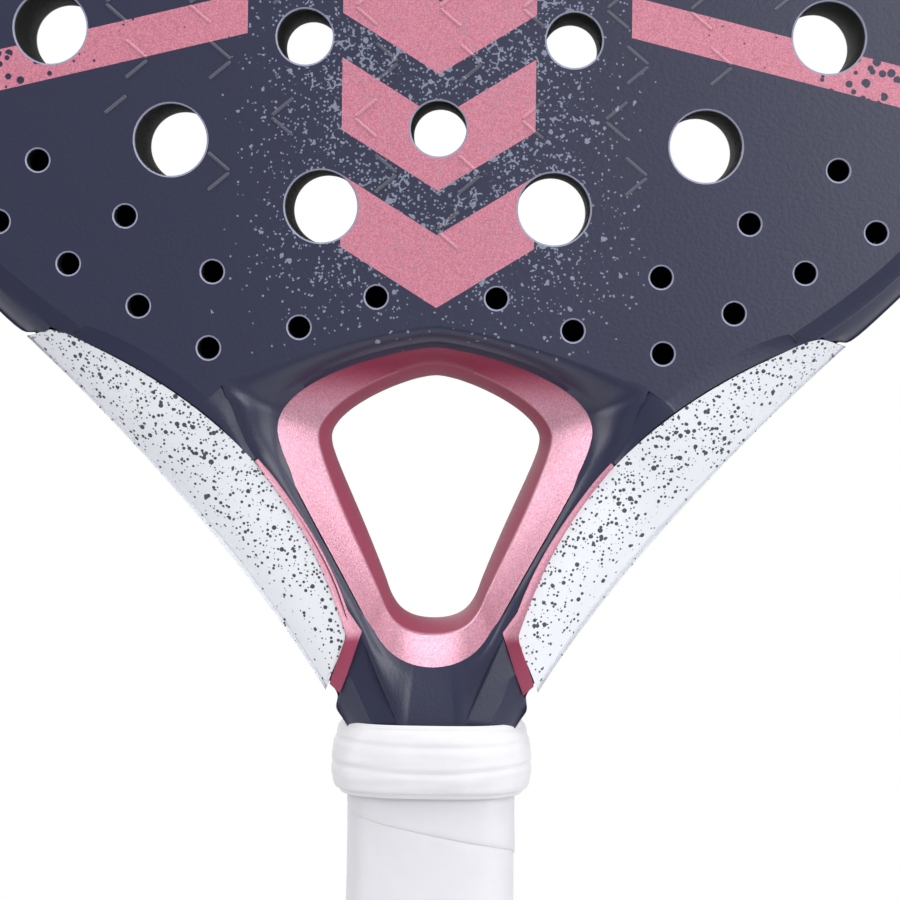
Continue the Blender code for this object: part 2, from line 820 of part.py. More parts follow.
def add_heart_ring(material, root):
    """The rose ring: a slope down to a crease, then a rounded wall to the opening."""
    hole = heart_hole()
    outline = ring_outline()
    mesh = bmesh.new()
    rings = []
    for point, _ in throat_rim():
        angle = bearing(point)
        side = math.copysign(1.0, point.x)
        outer = radius_at(outline, angle)
        inner = radius_at(hole, angle)
        crease = inner + RING_BAND
        front = [
            (outer, RING_EDGE_LEVEL),
            (mix(crease, outer, 0.45), mix(RING_CREASE_LEVEL, RING_EDGE_LEVEL, 0.4)),
            (crease, RING_CREASE_LEVEL),
            (inner + 0.35 * RING_BAND, 0.6 * RING_CREASE_LEVEL),
            (inner, 0.2 * RING_CREASE_LEVEL),
        ]
        section = front + [(radius, -level) for radius, level in reversed(front)]
        across = side * math.sin(angle)
        rings.append([
            Vector((radius * across, -level, HEART_CENTRE + radius * math.cos(angle)))
            for radius, level in section
        ])
    loft(mesh, rings, closed=True)
    return add_mesh("heart_ring", mesh, material, root)


def circle_points(centre, diameter, sides):
    """A round hole as a loop of points."""
    angles = [2.0 * math.pi * step / sides for step in range(sides)]
    return [centre + Vector((math.cos(angle), math.sin(angle))) * 0.5 * diameter for angle in angles]


def ring_centre():
    """Height of the centre of the ring of large holes."""
    return WIDEST_HEIGHT - RING_CENTRE_DROP


def ring_half_sizes(inset, above):
    """Half width of the ring of large holes and its height above or below its centre, less an inset."""
    tall = head_top() - RING_TOP_MARGIN - ring_centre()
    if not above:
        tall = ring_centre() - ARCH_HEIGHT - RING_BOTTOM_MARGIN
    return 0.5 * HEAD_WIDTH - RING_SIDE_MARGIN - inset, tall - inset


def inside_grid(spot):
    """Whether a small hole lies clear inside the ring of large ones."""
    across, tall = ring_half_sizes(GRID_CLEARANCE, spot.y > ring_centre())
    return math.hypot(spot.x / across, (spot.y - ring_centre()) / tall) < 1.0


def drilled_holes(sides):
    """Loops of the holes that go right through: the outer ring, then the staggered grid."""
    loops = []
    for pair in range(RING_PAIRS):
        angle = RING_FIRST_ANGLE + pair * RING_STEP
        across, tall = ring_half_sizes(0.0, math.cos(angle) < 0.0)
        for side in (-1.0, 1.0):
            spot = Vector((side * math.sin(angle) * across, ring_centre() - math.cos(angle) * tall))
            loops.append(circle_points(spot, LARGE_HOLE, sides))
    for row in range(GRID_ROWS):
        for column in range(-GRID_COLUMNS, GRID_COLUMNS + 1):
            height = ring_centre() - GRID_START_DROP + row * GRID_STEP_UP
            spot = Vector((column * GRID_STEP_ACROSS, height))
            if (row + column) % 2 == 0 and inside_grid(spot):
                loops.append(circle_points(spot, SMALL_HOLE, sides))
    return loops


def micro_rows():
    """Centres of the micro-perforations on the right half: along the arm, above it and over the throat."""
    shoulder = shoulder_point(1.0).y
    cut = wing_station(MICRO_EDGE_START_SHARE, stepped=True)
    edge_start = cut.outer + cut.inward * (cut.ridge_reach + MICRO_EDGE_START_INSET)
    edge_end = outline_at(shoulder + MICRO_EDGE_END_RISE) - Vector((MICRO_EDGE_END_INSET, 0.0))
    inner_start = Vector((MICRO_INNER_START, shoulder + MICRO_INNER_START_RISE))
    inner_end = outline_at(shoulder + MICRO_INNER_END_RISE) - Vector((MICRO_INNER_END_INSET, 0.0))
    rows = ((edge_start, edge_end, MICRO_EDGE_COUNT), (inner_start, inner_end, MICRO_INNER_COUNT))
    spots = []
    for start, end, count in rows:
        spots += [start.lerp(end, index / (count - 1)) for index in range(count)]
    for across, rise in zip(MICRO_THROAT_PLACES, MICRO_THROAT_RISES):
        spots.append(Vector((across, arch_height(across) + rise)))
    return spots


def micro_holes():
    """Loops of the blind micro-perforations in the skins."""
    loops = []
    for spot in micro_rows():
        for side in (-1.0, 1.0):
            loops.append(circle_points(Vector((side * spot.x, spot.y)), MICRO_HOLE, MICRO_SIDES))
    return loops


def plate_outline(depth_of):
    """Closed outline of a plate inside the frame: round the head, then along the throat's arch."""
    stop = FACE_END_SHARE - 3.0 * edge_share()
    cuts = head_stations() + [wing_station(share, stepped=True) for share in wing_shares() if share < stop]
    right = [cut.outer + cut.inward * depth_of(cut) for cut in cuts]
    last = wing_station(FACE_END_SHARE, stepped=True)
    shift = face_end_point(2.0 * FIT_GAP) - (last.outer + last.inward * (last.reach + FIT_GAP))
    right.append(last.outer + last.inward * depth_of(last) + shift)
    left = [Vector((-point.x, point.y)) for point in right[1:]]
    return left[::-1] + right


def add_plate(name, outline, holes, thickness, middle, material, root):
    """A flat plate with holes, extruded from its outline about a middle level."""
    curve = bpy.data.curves.new(name, "CURVE")
    curve.dimensions = "2D"
    curve.fill_mode = "BOTH"
    curve.extrude = 0.5 * thickness
    for loop in [outline] + holes:
        spline = curve.splines.new("POLY")
        spline.points.add(len(loop) - 1)
        for slot, point in zip(spline.points, loop):
            slot.co = (point.x, point.y, 0.0, 1.0)
        spline.use_cyclic_u = True
    plate = add_object(name, curve, material, root)
    plate.rotation_euler.x = 0.5 * math.pi
    plate.location.y = -middle
    return plate


def add_core_and_skins(foam, lacquer, root):
    """The foam core and the two skins that lie on it and on the frame tube's shelf."""
    arch = arch_points(2.0 * FIT_GAP)
    half = 0.5 * THICKNESS
    core_outline = plate_outline(lambda cut: cut.reach + FIT_GAP) + arch[1:-1]
    bores = drilled_holes(BORE_SIDES)
    add_plate("core", core_outline, bores, 2.0 * (half - SKIN_WALL - FIT_GAP), 0.0, foam, root)
    skin_outline = plate_outline(lambda cut: cut.ridge_reach + FIT_GAP) + arch
    holes = drilled_holes(HOLE_SIDES) + micro_holes()
    for name, side in (("face_front", 1.0), ("face_rear", -1.0)):
        middle = side * (half - 0.5 * SKIN_WALL)
        add_plate(name, skin_outline, holes, SKIN_WALL, middle, lacquer, root)


def handle_ring(half_width, half_depth, height, sides=HANDLE_SIDES):
    """A rounded octagon-like ring round the handle's axis."""
    points = []
    for step in range(sides):
        angle = 2.0 * math.pi * step / sides
        points.append(handle_point(half_width, half_depth, height, angle))
    return points


def handle_point(half_width, half_depth, height, angle):
    """A point of the handle's section, a rounded box between an ellipse and an octagon."""
    across = abs(math.cos(angle) / half_width) ** ROUNDNESS
    deep = abs(math.sin(angle) / half_depth) ** ROUNDNESS
    radius = (across + deep) ** (-1.0 / ROUNDNESS)
    return Vector((radius * math.cos(angle), radius * math.sin(angle), height))


def grip_half_sizes(growth):
    """Half width and half depth of the handle, grown outwards from the grip's surface."""
    return 0.5 * GRIP_WIDTH + growth, 0.5 * GRIP_DEPTH + growth


def pallet_growth():
    """How far the pallets lie inside the grip's surface."""
    return -GRIP_WALL - FIT_GAP


def add_pallet(name, side, material, root):
    """Half of the handle's shell: a half section with a channel for the frame tube's ends."""
    half_width, half_depth = grip_half_sizes(pallet_growth())
    outline = []
    for step in range(HANDLE_SIDES // 2 + 1):
        angle = 2.0 * math.pi * step / HANDLE_SIDES
        point = handle_point(half_width, half_depth, 0.0, angle)
        outline.append(Vector((point.x, max(point.y, 0.5 * FIT_GAP))))
    wide = CHANNEL_OUTER + FIT_GAP
    high = CHANNEL_HALF_HEIGHT + FIT_GAP
    split = 0.5 * FIT_GAP
    outline += [Vector((-wide, split)), Vector((-wide, high)), Vector((wide, high)), Vector((wide, split))]
    rings = []
    for height in (CAP_FLOOR + FIT_GAP - HANDLE_LENGTH, -PALLET_TOP):
        rings.append([Vector((point.x, side * point.y, height)) for point in outline])
    mesh = bmesh.new()
    loft(mesh, rings)
    return add_mesh(name, mesh, material, root)


def add_turned(name, profile, material, root):
    """A ring-shaped handle piece from a closed profile of half widths, half depths and heights."""
    mesh = bmesh.new()
    loft(mesh, [handle_ring(*corner) for corner in profile], closed=True)
    return add_mesh(name, mesh, material, root)


def add_butt_cap(material, root):
    """The cup at the butt end: flange, skirt round the pallets, floor and cord hole."""
    inner = pallet_growth() + FIT_GAP
    skirt = inner + CAP_SKIRT_WALL
    flange = CAP_FLANGE_LIP
    hole = 0.5 * CORD_HOLE
    corners = [
        (flange - CAP_EDGE, 0.0),
        (flange, CAP_EDGE),
        (flange, CAP_FLANGE),
        (skirt, CAP_FLANGE),
        (skirt, CAP_SKIRT),
        (inner, CAP_SKIRT),
        (inner, CAP_FLOOR),
    ]
    mesh = bmesh.new()
    rings = [handle_ring(*grip_half_sizes(growth), height - HANDLE_LENGTH) for growth, height in corners]
    for height in (CAP_FLOOR, 0.0):
        circle = circle_points(Vector((0.0, 0.0)), 2.0 * hole, HANDLE_SIDES)
        rings.append([Vector((point.x, point.y, height - HANDLE_LENGTH)) for point in circle])
    loft(mesh, rings, closed=True)
    return add_mesh("butt_cap", mesh, material, root)


def grip_flare(height):
    """How far the grip swells over the butt cap's skirt, at a height above the butt end."""
    swell = CAP_SKIRT_WALL + FIT_GAP
    return swell * (1.0 - smooth(CAP_SKIRT + 0.5 * FLARE_RUN, CAP_SKIRT + 2.0 * FLARE_RUN, height))


def add_grip_strip(material, root):
    """One strip wound from the butt cap up to the collar, cut to a taper at both ends."""
    low = GRIP_BOTTOM
    high = HANDLE_LENGTH - GRIP_TOP
    strip = GRIP_PITCH - GRIP_SEAM_GAP
    turns = (high - low - 2.0 * GRIP_TAPER + strip) / GRIP_PITCH
    steps = int(turns * HANDLE_SIDES)
    rings = []
    for step in range(steps + 1):
        turn = turns * step / steps
        upper = low + GRIP_TAPER + turn * GRIP_PITCH
        lower = max(upper - strip, low)
        upper = min(upper, high)
        angle = GRIP_START - 2.0 * math.pi * turn
        inner = []
        outer = []
        for share in GRIP_SHARES:
            height = mix(lower, upper, share)
            flare = grip_flare(height)
            rounding = GRIP_EDGE if share in (0.0, 1.0) else 0.0
            inside = grip_half_sizes(flare - GRIP_WALL)
            outside = grip_half_sizes(flare - rounding)
            inner.append(handle_point(*inside, height - HANDLE_LENGTH, angle))
            outer.append(handle_point(*outside, height - HANDLE_LENGTH, angle))
        rings.append(inner + outer[::-1])
    print("grip strip least gap to itself", round(least_gap(rings) * 1000.0, 3), "mm")
    mesh = bmesh.new()
    loft(mesh, rings)
    return add_mesh("grip_strip", mesh, material, root)


def least_gap(rings):
    """Least distance between the strip's edges one turn apart."""
    best = GRIP_PITCH
    for index, ring in enumerate(rings):
        for other in rings[index + HANDLE_SIDES - 2:index + HANDLE_SIDES + 3]:
            for point in ring:
                for spot in other:
                    best = min(best, (point - spot).length)
    return best


def add_finishing_tape(material, root):
    """The thin tape round the top end of the grip."""
    inside = grip_half_sizes(FIT_GAP)
    outside = grip_half_sizes(FIT_GAP + TAPE_WALL)
    top = -TAPE_TOP
    bottom = -TAPE_TOP - TAPE_HEIGHT
    profile = [(*outside, top), (*outside, bottom), (*inside, bottom), (*inside, top)]
    return add_turned("finishing_tape", profile, material, root)


def add_collar(material, root):
    """The rubber collar: a soft bulging ring that slides on the grip; its origin is at its lower edge."""
    inner = 2.0 * FIT_GAP + TAPE_WALL
    outer = inner + COLLAR_WALL
    half = 0.5 * COLLAR_HEIGHT
    corners = [
        (inner + 0.5 * COLLAR_WALL, COLLAR_HEIGHT),
        (outer - 0.5 * COLLAR_EDGE, COLLAR_HEIGHT - 0.4 * COLLAR_EDGE),
        (outer, COLLAR_HEIGHT - 1.6 * COLLAR_EDGE),
        (outer + 0.7 * COLLAR_BULGE, 1.2 * half),
        (outer + COLLAR_BULGE, 0.7 * half),
        (outer + 0.6 * COLLAR_BULGE, 1.2 * COLLAR_EDGE),
        (outer, 0.3 * COLLAR_EDGE),
        (inner + 0.5 * COLLAR_WALL, 0.0),
        (inner, 0.5 * COLLAR_EDGE),
        (inner, COLLAR_HEIGHT - 0.5 * COLLAR_EDGE),
    ]
    profile = [(*grip_half_sizes(growth), height) for growth, height in corners]
    collar = add_turned("collar", profile, material, root)
    collar.location.z = -COLLAR_HEIGHT
    return collar


def right_front(point):
    """A piece in its own place, at the front of the right arm."""
    return point


def right_rear(point):
    """The same piece on the rear."""
    return Vector((point.x, -point.y, point.z))


def left_rear(point):
    """The same piece on the rear of the left arm."""
    return Vector((-point.x, -point.y, point.z))


def build():
    """Make every piece of the racket."""
    for old in list(bpy.data.objects):
        bpy.data.objects.remove(old, do_unlink=True)
    root = bpy.data.objects.new("racket", None)
    root.location.z = HANDLE_LENGTH - HAND_HEIGHT
    bpy.context.collection.objects.link(root)

    navy = make_material("navy_lacquer", NAVY, 0.42)
    foam = make_material("black_foam", BLACK_FOAM, 0.85)
    rose = make_material("rose_paint", ROSE, 0.30, 0.35)
    white = make_material("white_paint", WHITE, 0.38)
    pale = make_material("pale_rubber", PALE_RUBBER, 0.70)
    shell = make_material("frame_lacquer", FRAME_NAVY, 0.40)
    tan = make_material("handle_foam", TAN_FOAM, 0.80)
    black = make_material("black_plastic", BLACK_FOAM, 0.50)

    add_frame_tube(head_stations() + wing_stations() + neck_stations(), shell, root)
    add_core_and_skins(foam, navy, root)
    add_throat_yoke(navy, root)
    add_heart_ring(rose, root)
    add_wing_cover("wing_cover_right", right_front, white, root)
    add_wing_cover("wing_cover_left", mirrored, white, root)
    add_trim("wing_trim_front_right", right_front, rose, root)
    add_trim("wing_trim_front_left", mirrored, rose, root)
    add_trim("wing_trim_rear_right", right_rear, rose, root)
    add_trim("wing_trim_rear_left", left_rear, rose, root)
    add_pallet("handle_pallet_front", -1.0, tan, root)
    add_pallet("handle_pallet_rear", 1.0, tan, root)
    add_butt_cap(black, root)
    add_grip_strip(pale, root)
    add_finishing_tape(pale, root)
    add_collar(pale, root)


build()
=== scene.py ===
# %% [markdown]
# # A padel racket
#
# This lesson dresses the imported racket. The solids of the part stay where they are as a fixed frame, and
# every visible piece is made from them or round them, so that the picture and the part agree to a
# fraction of a millimetre. The racket stands on its butt end, +Z runs up to its tip, and the front face
# looks towards -Y.

# %% Load the frame
import math

import bmesh
import bpy
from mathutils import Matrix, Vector, noise


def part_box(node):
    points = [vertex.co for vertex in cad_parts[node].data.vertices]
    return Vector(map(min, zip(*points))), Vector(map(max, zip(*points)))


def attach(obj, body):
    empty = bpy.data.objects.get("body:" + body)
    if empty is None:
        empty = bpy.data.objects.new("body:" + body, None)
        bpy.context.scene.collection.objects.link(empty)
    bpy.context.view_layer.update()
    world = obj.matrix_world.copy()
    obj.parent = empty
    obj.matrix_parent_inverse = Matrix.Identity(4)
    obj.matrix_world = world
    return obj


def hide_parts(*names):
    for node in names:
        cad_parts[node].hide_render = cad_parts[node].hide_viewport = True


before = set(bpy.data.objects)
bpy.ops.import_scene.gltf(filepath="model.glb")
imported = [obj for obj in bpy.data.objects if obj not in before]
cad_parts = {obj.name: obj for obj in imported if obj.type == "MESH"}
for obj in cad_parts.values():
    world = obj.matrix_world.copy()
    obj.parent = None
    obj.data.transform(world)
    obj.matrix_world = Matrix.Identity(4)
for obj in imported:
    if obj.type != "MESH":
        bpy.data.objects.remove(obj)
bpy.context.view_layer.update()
bpy.ops.object.select_all(action="DESELECT")
MM = 0.001
COLLAR_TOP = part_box("collar")[1].z
print("solids loaded:", len(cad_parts), "collar top at", round(COLLAR_TOP / MM, 2), "mm")

# %% [markdown]
# ## The stage
#
# The photograph is a studio cut-out: the camera looks straight at the front face from a little right of
# the axis and level with the throat, and everything behind the racket is white. A long lens with a
# shifted frame gives the same crop without tilting the camera, which would make the handle's sides lean.

# %% Camera
CAMERA_PLACE = (0.00835, -0.750, 0.1477)
CAMERA_ROLL = math.radians(-0.75)
FOCAL_LENGTH = 162.88
SENSOR_WIDTH = 36.0
FRAME_SHIFT = (-0.0367, -0.18)
camera_data = bpy.data.cameras.new("camera")
camera_data.lens = FOCAL_LENGTH
camera_data.sensor_width = SENSOR_WIDTH
camera_data.shift_x, camera_data.shift_y = FRAME_SHIFT
camera = bpy.data.objects.new("camera", camera_data)
camera.location = CAMERA_PLACE
camera.rotation_euler = (0.5 * math.pi, CAMERA_ROLL, 0.0)
bpy.context.collection.objects.link(camera)
bpy.context.scene.camera = camera
bpy.context.scene.view_settings.view_transform = "Standard"
print("camera", round(-CAMERA_PLACE[1] / MM), "mm in front of the racket")


# %% [markdown]
# Every paint below is a small tree of nodes. These helpers keep such a tree readable: one adds a node and
# joins it, one does a step of arithmetic, one eases a value between two limits, and one mixes two
# colours.

# %% Node helpers
def add_node(tree, kind, inputs=None, **settings):
    """Add a node, set its options, and fill or join its inputs."""
    made = tree.nodes.new(kind)
    for name, value in settings.items():
        setattr(made, name, value)
    for name, value in (inputs or {}).items():
        if isinstance(value, bpy.types.NodeSocket):
            tree.links.new(value, made.inputs[name])
        else:
            made.inputs[name].default_value = value
    return made


def maths(tree, operation, first, second=0.0, third=0.0, clamp=False):
    """One step of arithmetic on values or outputs."""
    made = add_node(tree, "ShaderNodeMath", {0: first, 1: second, 2: third}, operation=operation)
    made.use_clamp = clamp
    return made.outputs[0]


def ramp_between(tree, value, low, high):
    """Ease a value from 0 at low to 1 at high."""
    made = add_node(
        tree,
        "ShaderNodeMapRange",
        {"Value": value, "From Min": low, "From Max": high},
        interpolation_type="SMOOTHSTEP",
    )
    return made.outputs["Result"]


def blend_colours(tree, share, first, second):
    """Mix two colours by a share."""
    made = add_node(tree, "ShaderNodeMix", {"Factor": share, "A": first, "B": second}, data_type="RGBA")
    return made.outputs["Result"]


# %% [markdown]
# The world is plain white to the camera. What lies behind the racket is white to reflections too, and the
# studio in front of it is dimmer, as a real room is beyond the lamps.

# %% World
world = bpy.data.worlds.new("studio")
bpy.context.scene.world = world
world.use_nodes = True
sky = world.node_tree
sky.nodes.clear()
direction = add_node(sky, "ShaderNodeTexCoord").outputs["Generated"]
axes = add_node(sky, "ShaderNodeSeparateXYZ", {"Vector": direction})
rays = add_node(sky, "ShaderNodeLightPath")
behind = ramp_between(sky, axes.outputs["Y"], -0.1, 0.3)
seen = maths(sky, "MAXIMUM", rays.outputs["Is Glossy Ray"], rays.outputs["Is Transmission Ray"])
backdrop = maths(sky, "MAXIMUM", rays.outputs["Is Camera Ray"], maths(sky, "MULTIPLY", seen, behind))
STUDIO_GREY = (0.28, 0.28, 0.29, 1.0)
WHITE_LIGHT = (1.0, 1.0, 1.0, 1.0)
FLOOR_SHADE = (0.04, 0.04, 0.045, 1.0)
raised = ramp_between(sky, axes.outputs["Z"], -0.4, 0.1)
studio_colour = blend_colours(sky, raised, FLOOR_SHADE, STUDIO_GREY)
studio_colour = blend_colours(sky, backdrop, studio_colour, WHITE_LIGHT)
background = add_node(sky, "ShaderNodeBackground", {"Color": studio_colour})
add_node(sky, "ShaderNodeOutputWorld", {"Surface": background.outputs["Background"]})

# %% [markdown]
# Softboxes stand to the right, to the left and overhead. Wide lamps give the satin lacquer its long soft
# gleam.

# %% Lamps
AIM = Vector((0.0, 0.0, 0.14))


def add_softbox(name, place, width, height, power):
    """A wide lamp that faces the racket."""
    light = bpy.data.lights.new(name, "AREA")
    light.shape = "RECTANGLE"
    light.size = width
    light.size_y = height
    light.energy = power
    lamp = bpy.data.objects.new(name, light)
    lamp.location = place
    lamp.rotation_euler = (AIM - Vector(place)).to_track_quat("-Z", "Y").to_euler()
    bpy.context.collection.objects.link(lamp)
    print(name, power, "W")


add_softbox("key_right", (0.36, -0.72, 0.30), 0.30, 0.70, 4.0)
add_softbox("side_right", (0.72, -0.22, 0.25), 0.40, 0.80, 3.2)
add_softbox("back_fill", (-0.30, 0.80, 0.50), 0.60, 0.60, 3.0)
add_softbox("side_left", (-0.70, -0.24, 0.25), 0.40, 0.80, 3.6)
add_softbox("overhead", (0.0, -0.30, 0.85), 0.80, 0.40, 4.0)

# %% [markdown]
# The floor is a pale disc under the butt end. It keeps the shadow, and its rim fades into the white.

# %% Floor
FLOOR_RADIUS = 0.40
bpy.ops.mesh.primitive_circle_add(
    vertices=96,
    radius=FLOOR_RADIUS,
    fill_type="NGON",
    location=(0.0, 0.0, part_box("butt_cap")[0].z),
)
floor = bpy.context.active_object
floor.name = "floor"
floor_finish = bpy.data.materials.new("floor")
floor_finish.use_nodes = True
tree = floor_finish.node_tree
tree.nodes.clear()
spot = add_node(tree, "ShaderNodeTexCoord").outputs["Object"]
away = add_node(tree, "ShaderNodeVectorMath", {0: spot}, operation="LENGTH").outputs["Value"]
fade = ramp_between(tree, away, 0.35 * FLOOR_RADIUS, 0.95 * FLOOR_RADIUS)
paint = add_node(tree, "ShaderNodeBsdfDiffuse", {"Color": (0.85, 0.85, 0.85, 1.0)})
clear = add_node(tree, "ShaderNodeBsdfTransparent")
mixed = add_node(
    tree,
    "ShaderNodeMixShader",
    {0: fade, 1: paint.outputs["BSDF"], 2: clear.outputs["BSDF"]},
)
add_node(tree, "ShaderNodeOutputMaterial", {"Surface": mixed.outputs["Shader"]})
floor.data.materials.append(floor_finish)


# %% [markdown]
# ## Finishes
#
# A real racket is moulded, filled, painted, printed and lacquered. Each finish could be a picture wrapped
# round the piece, but a rule that works on the place in millimetres needs no unwrapping. It also runs on
# unbroken from one piece to the next, as paint does.

# %% Finishes
def new_finish(name):
    """A fresh material: its tree, its shader and the place on the piece in millimetres."""
    finish = bpy.data.materials.new(name)
    finish.use_nodes = True
    made = finish.node_tree
    made.nodes.clear()
    shader = add_node(made, "ShaderNodeBsdfPrincipled")
    add_node(made, "ShaderNodeOutputMaterial", {"Surface": shader.outputs["BSDF"]})
    corner = add_node(made, "ShaderNodeTexCoord").outputs["Object"]
    scaled = add_node(made, "ShaderNodeVectorMath", {0: corner, "Scale": 1000.0}, operation="SCALE")
    return finish, made, shader, scaled.outputs["Vector"]


def fill(tree, shader, **inputs):
    """Set or join inputs of a shader, named with underscores for spaces."""
    for name, value in inputs.items():
        socket = shader.inputs[name.replace("_", " ")]
        if isinstance(value, bpy.types.NodeSocket):
            tree.links.new(value, socket)
        else:
            socket.default_value = value


def bump(tree, height, strength, distance):
    """Turn a height into a normal."""
    made = add_node(
        tree,
        "ShaderNodeBump",
        {"Height": height, "Strength": strength, "Distance": distance},
    )
    return made.outputs["Normal"]


def noise_value(tree, place, scale, detail=2.0):
    """Plain soft noise at a place."""
    made = add_node(tree, "ShaderNodeTexNoise", {"Vector": place, "Scale": scale, "Detail": detail})
    return made.outputs["Fac"]


NAVY = (0.022, 0.024, 0.054, 1.0)
# lavender of the hole chamfers: bare skin with a painted highlight on it
RIM_SKIN_AND_HIGHLIGHT = (0.25, 0.26, 0.36, 1.0)
SKIN_GREY = (0.075, 0.08, 0.11, 1.0)
ROSE = (0.38, 0.115, 0.17, 1.0)
PALE_ROSE = (0.60, 0.225, 0.30, 1.0)
# deep rose: the trims' own deeper tone, and the colour of the painted shade on the ring and the trims
DEEP_ROSE_AND_SHADE = (0.29, 0.032, 0.08, 1.0)
GREY_BLUE = (0.20, 0.225, 0.30, 1.0)


# %% [markdown]
# Specks are flicked on with a brush or printed as a fine screen. A cell texture gives each speck its own
# cell, and two random draws per cell say whether it is there and how large it is. Squaring the second
# draw makes small specks common and large ones rare. The group serves the white wings, the side bands and
# the splatter alike.

# %% Speckle group
def speckle_group():
    """Scattered round specks: a mask that is 1 on a speck."""
    group = bpy.data.node_groups.new("speckle", "ShaderNodeTree")
    group.interface.new_socket("Place", in_out="INPUT", socket_type="NodeSocketVector")
    for name in ("Scale", "Amount", "Smallest", "Largest"):
        group.interface.new_socket(name, in_out="INPUT", socket_type="NodeSocketFloat")
    group.interface.new_socket("Mask", in_out="OUTPUT", socket_type="NodeSocketFloat")
    start = add_node(group, "NodeGroupInput").outputs
    cells = add_node(group, "ShaderNodeTexVoronoi", {"Vector": start["Place"], "Scale": start["Scale"]})
    draws = add_node(group, "ShaderNodeSeparateColor", {"Color": cells.outputs["Color"]})
    chosen = maths(group, "LESS_THAN", draws.outputs["Red"], start["Amount"])
    span = maths(group, "SUBTRACT", start["Largest"], start["Smallest"])
    skewed = maths(group, "POWER", draws.outputs["Green"], 2.0)
    size = maths(group, "MULTIPLY_ADD", skewed, span, start["Smallest"])
    inside = maths(group, "SUBTRACT", size, cells.outputs["Distance"])
    edge = maths(group, "MULTIPLY", inside, 25.0, clamp=True)
    result = maths(group, "MULTIPLY", edge, chosen)
    add_node(group, "NodeGroupOutput", {"Mask": result})
    return group


SPECKLE = speckle_group()


def specks(tree, place, scale, amount, smallest, largest):
    """A speckle mask at a place, with its spacing, share of cells and sizes."""
    inputs = {
        "Place": place,
        "Scale": scale,
        "Amount": amount,
        "Smallest": smallest,
        "Largest": largest,
    }
    return add_node(tree, "ShaderNodeGroup", inputs, node_tree=SPECKLE).outputs["Mask"]


# %% [markdown]
# The rose print on the face is two slanted bands and a column of chevrons. A print like this could be cut
# from stickers. Here each shape is a test on two distances, from the middle line and from the collar's
# top, so that its edges stay sharp at any size.

# %% Printed rose
STRIPE_SLOPE = 0.2456
STRIPE_FOOT = 133.4
STRIPE_WIDTH = 7.4
STRIPE_START = 34.5
CHEVRON_SLOPE = 0.62
CHEVRON_FOOT = 76.0
CHEVRON_TOP = 202.0
CHEVRON_STEP = 21.0
CHEVRON_SHARE = 0.62
COLUMN_HALF_WIDTH = 17.4


def both(tree, first, second):
    """A mask that is 1 where two masks are."""
    return maths(tree, "MULTIPLY", first, second)


def within(tree, value, low, high):
    """A mask that is 1 between two values."""
    return both(tree, maths(tree, "GREATER_THAN", value, low), maths(tree, "LESS_THAN", value, high))


def stripe_mask(tree, place, away, height):
    """The two slanted side bands, eaten away by dots towards the frame."""
    drop = maths(tree, "MULTIPLY_ADD", away, STRIPE_SLOPE, height)
    band = within(tree, drop, STRIPE_FOOT, STRIPE_FOOT + STRIPE_WIDTH)
    begun = maths(tree, "GREATER_THAN", away, STRIPE_START)
    outward = ramp_between(tree, away, 36.0, 96.0)
    largest = maths(tree, "MULTIPLY_ADD", outward, 0.75, 0.14)
    dots = specks(tree, place, 0.50, maths(tree, "MULTIPLY_ADD", outward, 0.5, 0.5), 0.06, largest)
    return both(tree, both(tree, band, begun), maths(tree, "SUBTRACT", 1.0, dots))


def chevron_mask(tree, away, height):
    """A column of plain chevrons up the middle of the face."""
    lean = maths(tree, "MULTIPLY_ADD", away, -CHEVRON_SLOPE, height)
    climbed = maths(tree, "SUBTRACT", lean, CHEVRON_FOOT)
    turn = maths(tree, "FRACT", maths(tree, "DIVIDE", climbed, CHEVRON_STEP))
    column = maths(tree, "LESS_THAN", away, COLUMN_HALF_WIDTH)
    painted = both(tree, maths(tree, "LESS_THAN", turn, CHEVRON_SHARE), column)
    return both(tree, painted, within(tree, lean, CHEVRON_FOOT, CHEVRON_TOP))


# %% [markdown]
# Between the prints the navy is spattered with grey-blue paint. Blots come from specks whose places are
# bent by noise, grit from small straight specks, and the thin threads from the borders of cells, broken
# up by more noise.

# %% Splatter
def splatter_mask(tree, place, away, height):
    """Blots, grit and broken veins of paint that crowd towards the middle of the face."""
    central = maths(tree, "SUBTRACT", 1.0, ramp_between(tree, away, 16.0, 42.0))
    spread_out = both(tree, central, ramp_between(tree, height, 64.0, 90.0))
    warp = add_node(tree, "ShaderNodeTexNoise", {"Vector": place, "Scale": 0.9, "Detail": 3.0})
    bent = add_node(tree, "ShaderNodeVectorMath", {0: warp.outputs["Color"], 1: place}, operation="ADD")
    bent = bent.outputs["Vector"]
    blots = specks(tree, bent, 0.90, spread_out, 0.10, 0.62)
    grit = specks(tree, place, 1.7, maths(tree, "MULTIPLY", spread_out, 0.4), 0.10, 0.50)
    veins = add_node(
        tree,
        "ShaderNodeTexVoronoi",
        {"Vector": bent, "Scale": 0.62},
        feature="DISTANCE_TO_EDGE",
    )
    thin = maths(tree, "LESS_THAN", veins.outputs["Distance"], 0.085)
    limit = maths(tree, "MULTIPLY_ADD", spread_out, -0.30, 0.87)
    broken = maths(tree, "GREATER_THAN", noise_value(tree, place, 0.45), limit)
    return maths(tree, "MAXIMUM", maths(tree, "MAXIMUM", blots, grit), both(tree, thin, broken))


# %% [markdown]
# The satin lacquer lies over all of it. At each drilled hole the drill cuts through the paint, so the
# wall shows the paler skin beneath; the chamfer is that skin too, with a painted highlight along each rim.
# A face that turns away from the front must be one of these, which is how the paint tells them apart
# without a mask drawn by hand.

# %% Lacquer
RIM_SLOPE = 0.36
RIM_FOOT = 51.0
CHAMFER_FACING = 0.93
WALL_FACING = 0.30


